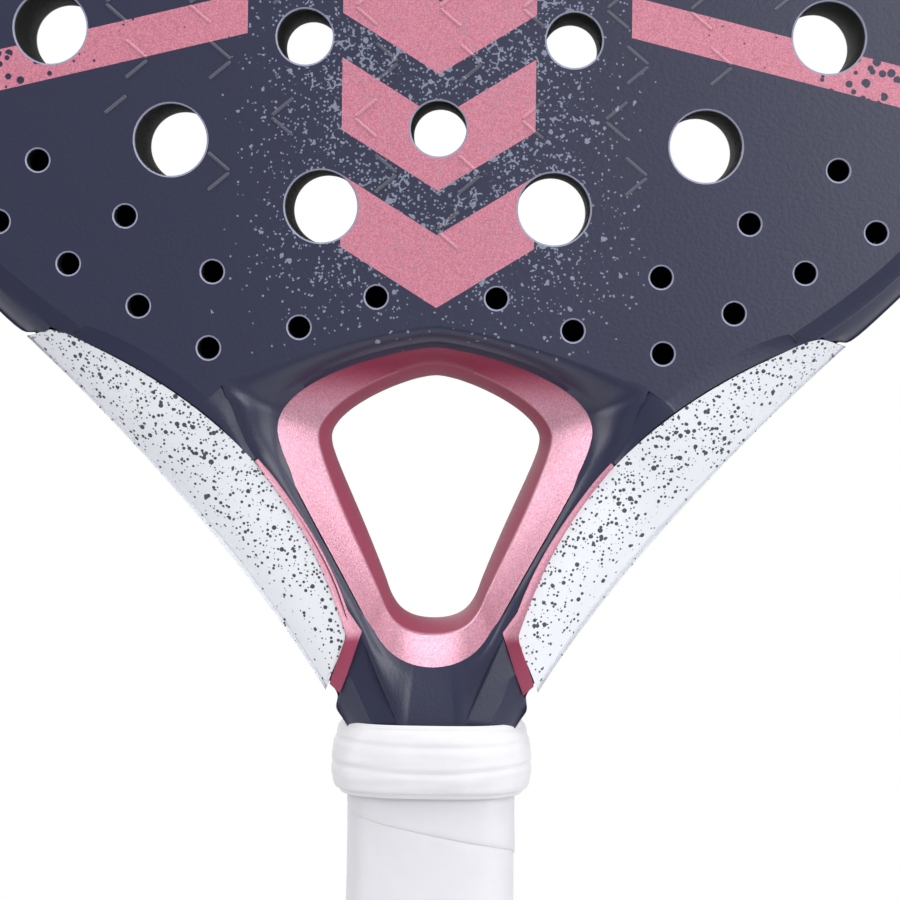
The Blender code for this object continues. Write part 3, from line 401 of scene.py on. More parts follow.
def rim_masks(tree, away, height, rim):
    """The chamfer and the wall of each drilled hole, told by how far a face turns from the front."""
    normal = add_node(tree, "ShaderNodeNewGeometry").outputs["Normal"]
    facing = add_node(tree, "ShaderNodeSeparateXYZ", {"Vector": normal}).outputs["Y"]
    facing = maths(tree, "ABSOLUTE", facing)
    drilled = maths(tree, "MULTIPLY_ADD", away, -RIM_SLOPE, height)
    drilled = both(tree, maths(tree, "GREATER_THAN", drilled, RIM_FOOT), rim)
    chamfer = both(tree, maths(tree, "LESS_THAN", facing, CHAMFER_FACING), drilled)
    wall = both(tree, maths(tree, "LESS_THAN", facing, WALL_FACING), drilled)
    return chamfer, wall


def make_lacquer(name, lift, rim):
    """Satin navy lacquer with the printed face, lifted towards white, with a share of bare hole rims."""
    finish, tree, shader, place = new_finish(name)
    parts = add_node(tree, "ShaderNodeSeparateXYZ", {"Vector": place}).outputs
    away = maths(tree, "ABSOLUTE", parts["X"])
    height = maths(tree, "SUBTRACT", parts["Z"], COLLAR_TOP / MM)
    stripe = stripe_mask(tree, place, away, height)
    rose = maths(tree, "MAXIMUM", stripe, chevron_mask(tree, away, height))
    splatter = splatter_mask(tree, place, away, height)
    splatter = both(tree, splatter, maths(tree, "MULTIPLY_ADD", rose, -0.75, 0.95))
    flake = ramp_between(tree, noise_value(tree, place, 4.5, 3.0), 0.26, 0.74)
    colour = blend_colours(tree, rose, NAVY, blend_colours(tree, flake, ROSE, PALE_ROSE))
    colour = blend_colours(tree, splatter, colour, GREY_BLUE)
    chamfer, wall = rim_masks(tree, away, height, rim)
    # painted highlight: each hole's chamfer turns lavender, bare skin and rim light together
    colour = blend_colours(tree, chamfer, colour, RIM_SKIN_AND_HIGHLIGHT)
    colour = blend_colours(tree, wall, colour, SKIN_GREY)
    colour = blend_colours(tree, lift, colour, WHITE_LIGHT)
    peel = noise_value(tree, place, 1.6)
    fill(
        tree,
        shader,
        Base_Color=colour,
        Roughness=maths(tree, "MULTIPLY_ADD", rose, 0.06, 0.36),
        Normal=bump(tree, peel, 0.04, 0.001),
    )
    return finish


LACQUER = make_lacquer("navy_lacquer", 0.0, 0.0)
SKIN_LACQUER = make_lacquer("skin_lacquer", 0.0, 1.0)
RELIEF_LACQUER = make_lacquer("relief_lacquer", 0.06, 0.0)
print("lacquer nodes:", len(SKIN_LACQUER.node_tree.nodes))

# %% [markdown]
# The heart ring and the edge trims carry rose paint with a fine metal flake. Noise mixes a darker and a
# lighter rose and also lifts the surface a little, so that the flake glints. Shade is painted in as a deeper
# rose where faces turn away from the light: on the wall of the opening, on the ring's top slope and on the
# trims' lower legs.

# %% Rose flake
FLAKE_DARK = (0.44, 0.165, 0.25, 1.0)
FLAKE_LIGHT = (0.78, 0.47, 0.56, 1.0)
# how softly the painted shade fades in on the wall, and how deep it gets between the two heights
WALL_SHADE_FADE = 1.2
DEEPEST_PAINTED_SHADE = 0.95


def make_rose(name, metallic, roughness, depth, wall_level, painted_shade_start, painted_shade_end):
    """Rose paint with a fine metal flake, with shade painted in as deeper rose on the wall of the opening
    and between two heights.
    """
    finish, tree, shader, place = new_finish(name)
    parts = add_node(tree, "ShaderNodeSeparateXYZ", {"Vector": place}).outputs
    level = maths(tree, "ABSOLUTE", parts["Y"])
    # painted shade: the wall of the opening is given deep rose, because it turns away from the light
    wall = ramp_between(tree, level, wall_level, wall_level - WALL_SHADE_FADE)
    flake = ramp_between(tree, noise_value(tree, place, 3.2, 3.0), 0.05, 0.95)
    pale = blend_colours(tree, flake, FLAKE_DARK, FLAKE_LIGHT)
    base = COLLAR_TOP / MM
    # painted shade: deeper rose between two heights, where the ring's top slope and the trims' lower legs
    # face down
    painted_shade = ramp_between(tree, parts["Z"], base + painted_shade_start, base + painted_shade_end)
    deep = maths(tree, "MULTIPLY_ADD", painted_shade, DEEPEST_PAINTED_SHADE - depth, depth)
    pale = blend_colours(tree, deep, pale, DEEP_ROSE_AND_SHADE)
    colour = blend_colours(tree, wall, pale, DEEP_ROSE_AND_SHADE)
    open_face = maths(tree, "SUBTRACT", 1.0, wall)
    fill(
        tree,
        shader,
        Base_Color=colour,
        Metallic=maths(tree, "MULTIPLY", open_face, metallic),
        Roughness=maths(tree, "MULTIPLY_ADD", wall, 0.3, roughness),
        Normal=bump(tree, flake, 0.12, 0.0005),
    )
    return finish


# the last two numbers give the band of painted shade, in millimetres above the collar's top
RING_ROSE = make_rose("rose_flake", 0.55, 0.34, 0.0, 10.0, 55.0, 66.0)
TRIM_ROSE = make_rose("rose_trim", 0.3, 0.36, 0.35, 2.0, 17.5, 15.5)
print("rose nodes:", len(RING_ROSE.node_tree.nodes))

# %% [markdown]
# The wings are white with dark specks that crowd towards the throat. The grip, the collar, the tape, the
# foams and the butt cap's plastic differ only in tone, gloss and grain, so that one plain finish makes
# them all.

# %% Whites and foams
WING_WHITE = (0.72, 0.74, 0.78, 1.0)
SPECK_DARK = (0.055, 0.070, 0.078, 1.0)


def make_white():
    """White paint with dark specks that crowd towards the throat."""
    finish, tree, shader, place = new_finish("white_paint")
    parts = add_node(tree, "ShaderNodeSeparateXYZ", {"Vector": place}).outputs
    level = maths(tree, "ABSOLUTE", parts["Y"])
    near = ramp_between(tree, level, 11.5, 16.5)
    fine = specks(tree, place, 1.45, maths(tree, "MULTIPLY_ADD", near, 0.85, 0.20), 0.12, 0.48)
    coarse = specks(tree, place, 0.85, maths(tree, "MULTIPLY", near, 0.95), 0.12, 0.45)
    dark = maths(tree, "MAXIMUM", fine, coarse)
    colour = blend_colours(tree, dark, WING_WHITE, SPECK_DARK)
    fill(tree, shader, Base_Color=colour, Roughness=0.45, Specular_IOR_Level=0.3)
    return finish


def make_plain(name, colour, roughness, bump_scale=0.0, bump_strength=0.0):
    """A plain finish with a fine surface texture."""
    finish, tree, shader, place = new_finish(name)
    shade = noise_value(tree, place, 0.25, 3.0)
    darker = tuple(0.92 * part for part in colour[:3]) + (1.0,)
    fill(tree, shader, Base_Color=blend_colours(tree, shade, darker, colour), Roughness=roughness)
    if bump_scale:
        grain = noise_value(tree, place, bump_scale, 4.0)
        fill(tree, shader, Normal=bump(tree, grain, bump_strength, 0.0005))
    return finish


WHITE_PAINT = make_white()
GRIP_WHITE = make_plain("grip_white", (0.64, 0.635, 0.67, 1.0), 0.55, 2.0, 0.05)
COLLAR_WHITE = make_plain("collar_white", (0.68, 0.675, 0.70, 1.0), 0.50, 1.0, 0.05)
TAPE_WHITE = make_plain("tape_white", (0.74, 0.74, 0.76, 1.0), 0.60, 6.0, 0.2)
BLACK_FOAM = make_plain("black_foam", (0.006, 0.006, 0.008, 1.0), 0.9, 1.5, 0.8)
TAN_FOAM = make_plain("tan_foam", (0.45, 0.36, 0.24, 1.0), 0.8, 1.5, 0.6)
BLACK_PLASTIC = make_plain("black_plastic", (0.018, 0.018, 0.020, 1.0), 0.45, 4.0, 0.2)
print("finishes made:", len(bpy.data.materials))


# %% [markdown]
# ## Pieces
#
# The solids are made of flat facets, and moulded pieces have none. A plain subdivision would shrink them,
# so round_off moves each corner out by as much as the smooth surface falls short of it, and the surface
# then passes close to the solid's own corners. Sharp edges are creased and stay sharp.

# %% Modelling helpers
WELD = 0.001 * MM


def pick(piece):
    """Make one object the only selected and the active one."""
    bpy.ops.object.select_all(action="DESELECT")
    piece.select_set(True)
    bpy.context.view_layer.objects.active = piece


def join(pieces):
    """Join pieces into one."""
    pick(pieces[0])
    for piece in pieces:
        piece.select_set(True)
    bpy.ops.object.join()
    return bpy.context.active_object


def apply_modifier(piece, kind, **settings):
    """Put a modifier on a piece and apply it."""
    pick(piece)
    modifier = piece.modifiers.new(kind.lower(), kind)
    for name, value in settings.items():
        setattr(modifier, name, value)
    bpy.ops.object.modifier_apply(modifier=modifier.name)


def copy_node(node, name):
    """A free copy of a solid, welded, with its triangles joined into four-sided faces."""
    pick(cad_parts[node])
    bpy.ops.object.duplicate()
    piece = bpy.context.active_object
    piece.name = name
    piece.data.name = name
    bpy.ops.mesh.customdata_custom_splitnormals_clear()
    bpy.ops.object.mode_set(mode="EDIT")
    bpy.ops.mesh.select_all(action="SELECT")
    bpy.ops.mesh.remove_doubles(threshold=WELD)
    bpy.ops.mesh.tris_convert_to_quads(
        face_threshold=math.radians(40.0),
        shape_threshold=math.radians(120.0),
    )
    bpy.ops.object.mode_set(mode="OBJECT")
    return piece


def round_off(piece, sharp_angle, levels=2, rounds=2, held=None):
    """Subdivide a piece smoothly through its own corners, holding sharp edges and those at a held height."""
    pick(piece)
    bpy.ops.object.mode_set(mode="EDIT")
    bpy.ops.mesh.select_mode(type="EDGE")
    bpy.ops.mesh.select_all(action="DESELECT")
    bpy.ops.mesh.edges_select_sharp(sharpness=sharp_angle)
    bpy.ops.object.mode_set(mode="OBJECT")
    if held is not None:
        for edge in piece.data.edges:
            ends = [piece.data.vertices[index].co.z for index in edge.vertices]
            edge.select = edge.select or all(abs(end - held) < 0.01 * MM for end in ends)
    bpy.ops.object.mode_set(mode="EDIT")
    bpy.ops.transform.edge_crease(value=1.0)
    bpy.ops.object.mode_set(mode="OBJECT")
    wanted = [vertex.co.copy() for vertex in piece.data.vertices]
    modifier = piece.modifiers.new("round", "SUBSURF")
    modifier.levels = levels
    modifier.render_levels = levels
    modifier.use_limit_surface = True
    for _ in range(rounds):
        rounded = piece.evaluated_get(bpy.context.evaluated_depsgraph_get()).data
        drift = [place - rounded.vertices[index].co for index, place in enumerate(wanted)]
        for vertex, shift in zip(piece.data.vertices, drift):
            vertex.co += shift
        piece.data.update()
    print(piece.name, "strays", round(max(shift.length for shift in drift) / MM, 3), "mm from its solid")
    bpy.ops.object.modifier_apply(modifier=modifier.name)
    bpy.ops.object.shade_smooth_by_angle(angle=math.radians(35.0))


def grow_walls(piece, wanted, amount):
    """Move the walls that a test wants straight outwards by an amount that goes by the place."""
    shifts = {}
    for face in piece.data.polygons:
        if wanted(face):
            for index in face.vertices:
                shifts[index] = shifts.get(index, Vector()) + face.normal * Vector((1.0, 0.0, 1.0))
    for index, shift in shifts.items():
        vertex = piece.data.vertices[index]
        vertex.co += shift.normalized() * amount(vertex.co)


def select_faces(piece, wanted):
    """Open a piece for editing with only the faces selected that a test wants."""
    pick(piece)
    bpy.ops.object.mode_set(mode="EDIT")
    bpy.ops.mesh.select_mode(type="FACE")
    bpy.ops.mesh.select_all(action="DESELECT")
    bpy.ops.object.mode_set(mode="OBJECT")
    for face in piece.data.polygons:
        face.select = wanted(face)
    bpy.ops.object.mode_set(mode="EDIT")


def hand_in(piece, body, nodes, finish):
    """Give a piece its finish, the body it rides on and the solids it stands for."""
    piece.data.materials.clear()
    piece.data.materials.append(finish)
    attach(piece, body)
    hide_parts(*nodes)
    print(piece.name, "has", len(piece.data.polygons), "faces")


# %% [markdown]
# The frame is a hollow tube of carbon laid round a bladder and cured in a mould. Only its outside shows,
# so the inner shell is dropped and the outer one is rounded off. The edge at the collar's top is held,
# because the collar hides it and the neck above must not bulge.

# %% Frame
tube = copy_node("frame_tube", "frame")
low_end = min(vertex.co.z for vertex in tube.data.vertices)
select_faces(tube, lambda face: face.center.z < low_end + 0.00001)
bpy.ops.mesh.delete(type="FACE")
bpy.ops.mesh.select_all(action="SELECT")
bpy.ops.mesh.separate(type="LOOSE")
bpy.ops.object.mode_set(mode="OBJECT")
shells = sorted(
    bpy.context.selected_objects,
    key=lambda shell: max(vertex.co.x for vertex in shell.data.vertices),
)
for hollow in shells[:-1]:
    bpy.data.objects.remove(hollow)
tube = shells[-1]
tube.name = "frame"
round_off(tube, math.radians(50.0), held=COLLAR_TOP)
hand_in(tube, "racket", ["frame_tube"], LACQUER)

# %% [markdown]
# The throat and the heart ring go round the opening like two uneven tyres. Each is described by cuts: at
# a bearing from the middle of the opening, a short row of distances and levels. These are read from the
# solids, made finer on smooth curves, and joined into a skin. Sculpting would be the other way, but it
# would drift from the part.

# %% Throat cuts
HEART_CENTRE = COLLAR_TOP + 45.0 * MM
FULL_TURN = 2.0 * math.pi


def read_cuts(node):
    """The front corners of a throat solid, gathered into cuts by their bearing round the opening."""
    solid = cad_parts[node].data
    corners = {tuple(round(part, 7) for part in vertex.co) for vertex in solid.vertices}
    spots = []
    for x, y, z in corners:
        if y < 0.0:
            turn = (math.atan2(x, z - HEART_CENTRE) + 0.01) % FULL_TURN
            spots.append((turn, math.hypot(x, z - HEART_CENTRE), -y))
    cuts = []
    for turn, reach, level in sorted(spots):
        if not cuts or turn - cuts[-1][0] > 0.001:
            cuts.append((turn, []))
        cuts[-1][1].append((reach, level))
    return [(turn - 0.01, sorted(points)) for turn, points in cuts]


def middle_slope(first, last, gap_before, gap_after, firm):
    """The slope of a curve at a cut; a firm curve never overshoots its neighbours."""
    if not firm:
        return (first * gap_after + last * gap_before) / (gap_before + gap_after)
    if first * last <= 0.0:
        return 0.0
    return 2.0 * first * last / (first + last)


def spread(cuts, step, firm):
    """Finer cuts on smooth curves that pass through the given ones."""
    count = len(cuts)
    gaps = [(cuts[(index + 1) % count][0] - cuts[index][0]) % FULL_TURN for index in range(count)]
    slopes = []
    for index in range(count):
        trios = zip(cuts[index - 1][1], cuts[index][1], cuts[(index + 1) % count][1])
        before, after = gaps[index - 1], gaps[index]
        slopes.append(
            [middle_slope((b - a) / before, (c - b) / after, before, after, firm) for a, b, c in trios]
        )
    finer = []
    for index in range(count):
        ahead = (index + 1) % count
        pieces = math.ceil(gaps[index] / step)
        for piece in range(pieces):
            share = piece / pieces
            rest = 1.0 - share
            eased = share * share * (3.0 - 2.0 * share)
            numbers = []
            ends = zip(cuts[index][1], cuts[ahead][1], slopes[index], slopes[ahead])
            for low, high, rise, fall in ends:
                swing = gaps[index] * share * rest * (rest * rise - share * fall)
                numbers.append(low + (high - low) * eased + swing)
            finer.append((cuts[index][0] + gaps[index] * share, numbers))
    return finer


def loft_cuts(name, cuts):
    """A closed piece from cuts given by bearing and front section, the same at the rear."""
    corners = []
    for turn, section in cuts:
        around = [(reach, -level) for reach, level in section]
        around += [(reach, level) for reach, level in reversed(section)]
        for reach, level in around:
            corners.append((reach * math.sin(turn), level, HEART_CENTRE + reach * math.cos(turn)))
    wide = 2 * len(cuts[0][1])
    faces = []
    for index in range(len(cuts)):
        here = index * wide
        ahead = (index + 1) % len(cuts) * wide
        for place in range(wide):
            side = (place + 1) % wide
            faces.append((here + place, here + side, ahead + side, ahead + place))
    mesh = bpy.data.meshes.new(name)
    mesh.from_pydata(corners, [], faces)
    piece = bpy.data.objects.new(name, mesh)
    bpy.context.collection.objects.link(piece)
    pick(piece)
    bpy.ops.object.mode_set(mode="EDIT")
    bpy.ops.mesh.select_all(action="SELECT")
    bpy.ops.mesh.normals_make_consistent(inside=False)
    bpy.ops.object.mode_set(mode="OBJECT")
    bpy.ops.object.shade_smooth_by_angle(angle=math.radians(35.0))
    return piece


# %% [markdown]
# The yoke rolls from the level of the face and the arms down to the ring. The roll is steep at the ring
# and flat at the outer rim, as a filled and sanded moulding is. Its outer walls are grown a little, so
# that the paint closes over the fitting gap, less beside the trims and more along the frame.

# %% Throat
CUT_STEP = math.radians(1.0)
YOKE_ROLL = 2.0
YOKE_ROWS = 12
NECK_LEVEL = 15.8 * MM
NECK_FOOT = 2.5 * MM
NECK_SPAN = math.radians(6.0)
FIT_GAP = 0.3 * MM
WALL_EASE = 4.0 * MM
TRIM_TOP = COLLAR_TOP + 46.0 * MM
TRIM_FOOT = COLLAR_TOP + 17.0 * MM
BELOW_FACE = 18.9 * MM
rims = []
for turn, points in read_cuts("throat_yoke"):
    (inner, edge_level), (outer, rim_level) = points[0], points[-1]
    if abs(turn - math.pi) < NECK_SPAN:
        outer = (HEART_CENTRE - COLLAR_TOP + NECK_FOOT) / -math.cos(turn)
        rim_level = NECK_LEVEL
    rims.append((turn, [inner, edge_level, outer, rim_level]))
yoke_cuts = []
for turn, (inner, edge_level, outer, rim_level) in spread(rims, CUT_STEP, True):
    section = []
    for row in range(YOKE_ROWS + 1):
        share = row / YOKE_ROWS
        rolled = 1.0 - (1.0 - share) ** YOKE_ROLL
        level = edge_level + (rim_level - edge_level) * rolled
        section.append((inner + (outer - inner) * share, level))
    yoke_cuts.append((turn, section))
yoke = loft_cuts("throat", yoke_cuts)


def is_side_wall(face):
    """Whether a face of the yoke is a wall beside the frame, the trims or the ring."""
    corners = [yoke.data.vertices[index].co for index in face.vertices]
    return abs(face.normal.y) < 0.3 and max(abs(corner.y) for corner in corners) < BELOW_FACE


def wall_growth(place):
    """Over the frame's chamfer where they meet, and only to the edge of a trim beside one."""
    from_foot = min(max((place.z - TRIM_FOOT) / WALL_EASE, 0.0), 1.0)
    from_top = min(max((TRIM_TOP - place.z) / WALL_EASE, 0.0), 1.0)
    return FIT_GAP * (2.2 - 2.0 * from_foot * from_top)


grow_walls(yoke, is_side_wall, wall_growth)
hand_in(yoke, "racket", ["throat_yoke"], LACQUER)

# %% [markdown]
# The ring is a separate moulding that is pressed into the yoke. It uses the same cuts. A low angle limit
# keeps the crease between its face and the wall of the opening crisp.

# %% Heart ring
ring_cuts = []
for turn, points in read_cuts("heart_ring"):
    ring_cuts.append((turn, [part for point in points for part in point]))
ring_cuts = spread(ring_cuts, CUT_STEP, False)
ring = loft_cuts("heart", [(turn, list(zip(parts[::2], parts[1::2]))) for turn, parts in ring_cuts])
round_off(ring, math.radians(20.0), 1, 1)
bpy.ops.object.shade_smooth_by_angle(angle=math.radians(20.0))
hand_in(ring, "racket", ["heart_ring"], RING_ROSE)

# %% [markdown]
# White covers sit on the two arms, with a rose trim along their inner edge at the front and at the rear.
# The covers are rounded off. The trims are narrow strips, so they keep their corners, get a fine bevel to
# catch the light, and stand slightly proud of what they border.

# %% Wings
TRIM_RISE = 0.5 * MM
TRIM_EDGE = 0.12 * MM
for node in [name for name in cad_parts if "wing" in name]:
    piece = copy_node(node, node + "_piece")
    if "trim" in node:
        grow_walls(piece, lambda face: abs(face.normal.y) < 0.6, lambda place: 1.2 * FIT_GAP)
        for vertex in piece.data.vertices:
            vertex.co.y += math.copysign(TRIM_RISE, vertex.co.y)
        apply_modifier(piece, "BEVEL", width=TRIM_EDGE, segments=2, limit_method="ANGLE")
        bpy.ops.object.shade_smooth_by_angle(angle=math.radians(30.0))
        hand_in(piece, "racket", [node], TRIM_ROSE)
    else:
        round_off(piece, math.radians(50.0))
        hand_in(piece, "racket", [node], WHITE_PAINT)


# %% [markdown]
# A face skin is a flat sheet of carbon or glass with drilled holes. To make it, the places and sizes of
# the holes are read from the solid, and the outer edge follows the frame and the throat as they are now,
# so no gap can open.

# %% Holes and outlines
def edge_loops(node, level):
    """The closed loops of edges that bound a solid's flat side at a level, as lists of points."""
    mesh = bmesh.new()
    mesh.from_mesh(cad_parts[node].data)
    bmesh.ops.remove_doubles(mesh, verts=mesh.verts, dist=WELD)
    mesh.edges.index_update()
    rim = {}
    for edge in mesh.edges:
        flat = all(abs(corner.co.y - level) < WELD for corner in edge.verts)
        if flat and any(abs(face.normal.y) < 0.5 for face in edge.link_faces):
            rim[edge.index] = edge
    loops = []
    while rim:
        edge = rim.pop(min(rim))
        corner = edge.verts[1]
        points = [edge.verts[0].co.copy()]
        while True:
            points.append(corner.co.copy())
            ahead = [other.index for other in corner.link_edges if other.index in rim]
            if not ahead:
                break
            corner = rim.pop(min(ahead)).other_vert(corner)
        closed = (points[0] - points[-1]).length < WELD
        loops.append(points[:-1] if closed else points)
    mesh.free()
    return loops


def hole_list(node, level):
    """Centre and radius of each hole in a solid's flat side."""
    loops = sorted(edge_loops(node, level), key=len)
    holes = []
    for points in loops[:-1]:
        centre = sum(points, Vector()) / len(points)
        holes.append((centre.x, centre.z, (points[0] - centre).length))
    return holes


HEAD_MIDDLE = 250.0 * MM
front_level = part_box("face_front")[0].y
HOLES = hole_list("face_front", front_level)
print("holes in the front skin:", len(HOLES))


def rim_points(level):
    """The outline that the frame and the throat leave for a skin, in order round it."""
    points = []
    for piece in (tube, yoke):
        for vertex in piece.data.vertices:
            if abs(vertex.co.y - level) < 2.0 * WELD:
                points.append((vertex.co.x, vertex.co.z))
    points.sort(key=lambda point: math.atan2(point[1] - HEAD_MIDDLE, point[0]))
    return points


def round_points(across, up, radius, count):
    """Points round a circle."""
    turns = [FULL_TURN * step / count for step in range(count)]
    return [(across + radius * math.cos(turn), up + radius * math.sin(turn)) for turn in turns]


def flat_plate(name, loops, middle, thickness, chamfer):
    """A plate drawn as one filled flat curve, thickened, with its rims chamfered."""
    curve = bpy.data.curves.new(name, "CURVE")
    curve.dimensions = "2D"
    curve.fill_mode = "BOTH"
    curve.extrude = 0.5 * thickness - chamfer
    curve.bevel_depth = chamfer
    curve.bevel_resolution = 1
    for loop in loops:
        spline = curve.splines.new("POLY")
        spline.points.add(len(loop) - 1)
        for point, (across, up) in zip(spline.points, loop):
            point.co = (across, up, 0.0, 1.0)
        spline.use_cyclic_u = True
    piece = bpy.data.objects.new(name, curve)
    bpy.context.collection.objects.link(piece)
    piece.rotation_euler.x = 0.5 * math.pi
    piece.location.y = middle
    pick(piece)
    bpy.ops.object.convert(target="MESH")
    piece = bpy.context.active_object
    bpy.ops.object.transform_apply(location=True, rotation=True, scale=True)
    bpy.ops.object.mode_set(mode="EDIT")
    bpy.ops.mesh.select_all(action="SELECT")
    bpy.ops.mesh.remove_doubles(threshold=WELD)
    bpy.ops.mesh.normals_make_consistent(inside=False)
    bpy.ops.object.mode_set(mode="OBJECT")
    bpy.ops.object.shade_smooth_by_angle(angle=math.radians(12.0))
    return piece


# %% [markdown]
# Each skin is one filled outline with round holes, thickened and chamfered. Cutting the holes from a
# plate would leave uneven facets round each of them, and the outline gives clean round rims at once.

# %% Skins
SKIN_WALL = 1.2 * MM
HOLE_CHAMFER = 0.3 * MM
MICRO_LIMIT = 4.0 * MM
for node, side in (("face_front", -1.0), ("face_rear", 1.0)):
    level = side * abs(front_level)
    loops = [rim_points(level)]
    for across, up, radius in HOLES:
        count = 64 if radius > MICRO_LIMIT else 32
        loops.append(round_points(across, up, radius + HOLE_CHAMFER, count))
    skin = flat_plate(node + "_skin", loops, level - side * 0.5 * SKIN_WALL, SKIN_WALL, HOLE_CHAMFER)
    hand_in(skin, "racket", [node], SKIN_LACQUER)

# %% [markdown]
# The core is a slab of foam between the skins. The large holes go right through it, and the small ones
# are blind and end in the dark. All drills are joined into one cutter, because one cut is quicker and
# cleaner than many.

# %% Core
DRILL_LENGTH = 50.0 * MM
DRILL_PLAY = 0.02 * MM
MICRO_DEPTH = 10.0 * MM
cutters = []


def add_cutter(across, up, radius, depth, middle):
    """One drill: a round bar along the racket's thickness."""
    bpy.ops.mesh.primitive_cylinder_add(
        vertices=64 if radius > MICRO_LIMIT else 32,
        radius=radius + DRILL_PLAY,
        depth=depth,
        location=(across, middle, up),
        rotation=(0.5 * math.pi, 0.0, 0.0),
    )
    cutters.append(bpy.context.active_object)


for across, up, radius in HOLES:
    if radius > MICRO_LIMIT:
        add_cutter(across, up, radius, DRILL_LENGTH, 0.0)
    else:
        for side in (-1.0, 1.0):
            middle = side * (abs(front_level) - 0.5 * MICRO_DEPTH)
            add_cutter(across, up, radius, MICRO_DEPTH, middle)
drill = join(cutters)
core = copy_node("core", "foam_core")
apply_modifier(core, "BOOLEAN", object=drill, operation="DIFFERENCE", solver="EXACT")
bpy.data.objects.remove(drill)
pick(core)
bpy.ops.object.shade_smooth_by_angle(angle=math.radians(35.0))
hand_in(core, "racket", ["core"], BLACK_FOAM)

# %% [markdown]
# The hitting face has a rough pattern that grips the ball: fine raised strokes in the lacquer. One
# bevelled bar is copied over the zone in rows of chevrons, on both faces, wherever it stays clear of the
# holes.

# %% Relief
STROKE_LENGTH = 5.0 * MM
STROKE_WIDTH = 0.65 * MM
STROKE_RISE = 0.25 * MM
STROKE_TURN = math.radians(40.0)
ROW_STEP = 10.0 * MM
COLUMN_STEP = 15.0 * MM
ZONE_CENTRE = COLLAR_TOP + 190.0 * MM
ZONE_HALF_WIDTH = 92.0 * MM
ZONE_HALF_HEIGHT = 102.0 * MM
bpy.ops.mesh.primitive_cube_add(size=1.0)
stroke = bpy.context.active_object
stroke.scale = (STROKE_LENGTH, 2.0 * STROKE_RISE, STROKE_WIDTH)
bpy.ops.object.transform_apply(location=False, rotation=False, scale=True)
apply_modifier(stroke, "BEVEL", width=0.8 * STROKE_RISE, segments=1, limit_method="ANGLE")


def clear_of_holes(across, up, reach):
    """Whether a spot lies further than a reach from the rim of every hole."""
    return all(math.hypot(across - x, up - z) > radius + reach for x, z, radius in HOLES)


def inside_zone(across, up):
    """Whether a spot lies in the hitting zone."""
    return math.hypot(across / ZONE_HALF_WIDTH, (up - ZONE_CENTRE) / ZONE_HALF_HEIGHT) < 1.0


strokes = []
for row in range(-11, 12):
    for column in range(-8, 9):
        pointing = 1.0 if row % 2 else -1.0
        tip = ((column + 0.5 * (row % 2)) * COLUMN_STEP, ZONE_CENTRE + row * ROW_STEP)
        for lean in (-STROKE_TURN, STROKE_TURN):
            across = tip[0] - pointing * 0.5 * STROKE_LENGTH * math.cos(lean)
            up = tip[1] + 0.56 * STROKE_LENGTH * math.sin(lean)
            free = clear_of_holes(across, up, 0.55 * STROKE_LENGTH)
            if not free or not inside_zone(across, up):
                continue
            for side in (-1.0, 1.0):
                copy = stroke.copy()
                copy.data = stroke.data.copy()
                copy.location = (across, side * abs(front_level), up)
                copy.rotation_euler.y = pointing * lean
                bpy.context.collection.objects.link(copy)
                strokes.append(copy)
bpy.data.objects.remove(stroke)
relief = join(strokes)
relief.name = "face_relief"
bpy.ops.object.transform_apply(location=True, rotation=True, scale=True)
bpy.ops.object.shade_smooth_by_angle(angle=math.radians(35.0))
relief.data.materials.append(RELIEF_LACQUER)
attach(relief, "racket")
print("relief strokes:", len(strokes))

# %% [markdown]
# The grip is one padded strip wound up the handle, each turn over the edge of the last. The strip's width
# is drawn as a row of points, swept up the handle as a screw, cut level at both ends, and pressed onto
# the handle's rounded section. Just above each seam the strip stands out a little, and that makes the
# seam's shadow.

# %% Grip
GRIP_HALF_WIDTH = 15.3 * MM
GRIP_HALF_DEPTH = 15.75 * MM
GRIP_ROUNDNESS = 3.0
GRIP_PITCH = 20.5 * MM
GRIP_START = math.radians(-44.0)
GRIP_WALL = 1.4 * MM
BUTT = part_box("butt_cap")[0].z
GRIP_LOW, GRIP_HIGH = (corner.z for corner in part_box("grip_strip"))
SEAM_BASE = BUTT + 5.7 * MM
SEAM_STEP = (
    (0.0, -0.10),
    (0.008, 0.10),
    (0.02, 0.20),
    (0.06, 0.24),
    (0.15, 0.20),
    (0.27, 0.14),
    (0.40, 0.09),
    (0.55, 0.05),
    (0.70, 0.02),
    (0.85, 0.0),
    (0.95, 0.0),
    (0.99, -0.02),
    (1.0, -0.10),
)


def ease(low, high, value):
    """Ease from 0 at low to 1 at high."""
    share = min(max((value - low) / (high - low), 0.0), 1.0)
    return share * share * (3.0 - 2.0 * share)


def handle_radius(turn, growth):
    """Distance from the handle's axis to its rounded section at a turn, grown by an amount."""
    across = abs(math.cos(turn) / (GRIP_HALF_WIDTH + growth)) ** GRIP_ROUNDNESS
    deep = abs(math.sin(turn) / (GRIP_HALF_DEPTH + growth)) ** GRIP_ROUNDNESS
    return (across + deep) ** (-1.0 / GRIP_ROUNDNESS)


def seam_height(turn):
    """Height of one pass of the seam at a turn round the handle."""
    return SEAM_BASE + GRIP_PITCH * (GRIP_START - turn) / FULL_TURN


def seam_rise(share):
    """How far the strip stands out at a share of its width above its lower edge."""
    for (low, first), (high, last) in zip(SEAM_STEP, SEAM_STEP[1:]):
        if share <= high:
            return MM * (first + (last - first) * (share - low) / (high - low))
    return 0.0


def grip_flare(up):
    """How far the grip swells over the butt cap's skirt."""
    return 1.4 * MM * (1.0 - ease(17.0 * MM, 26.0 * MM, up - BUTT))


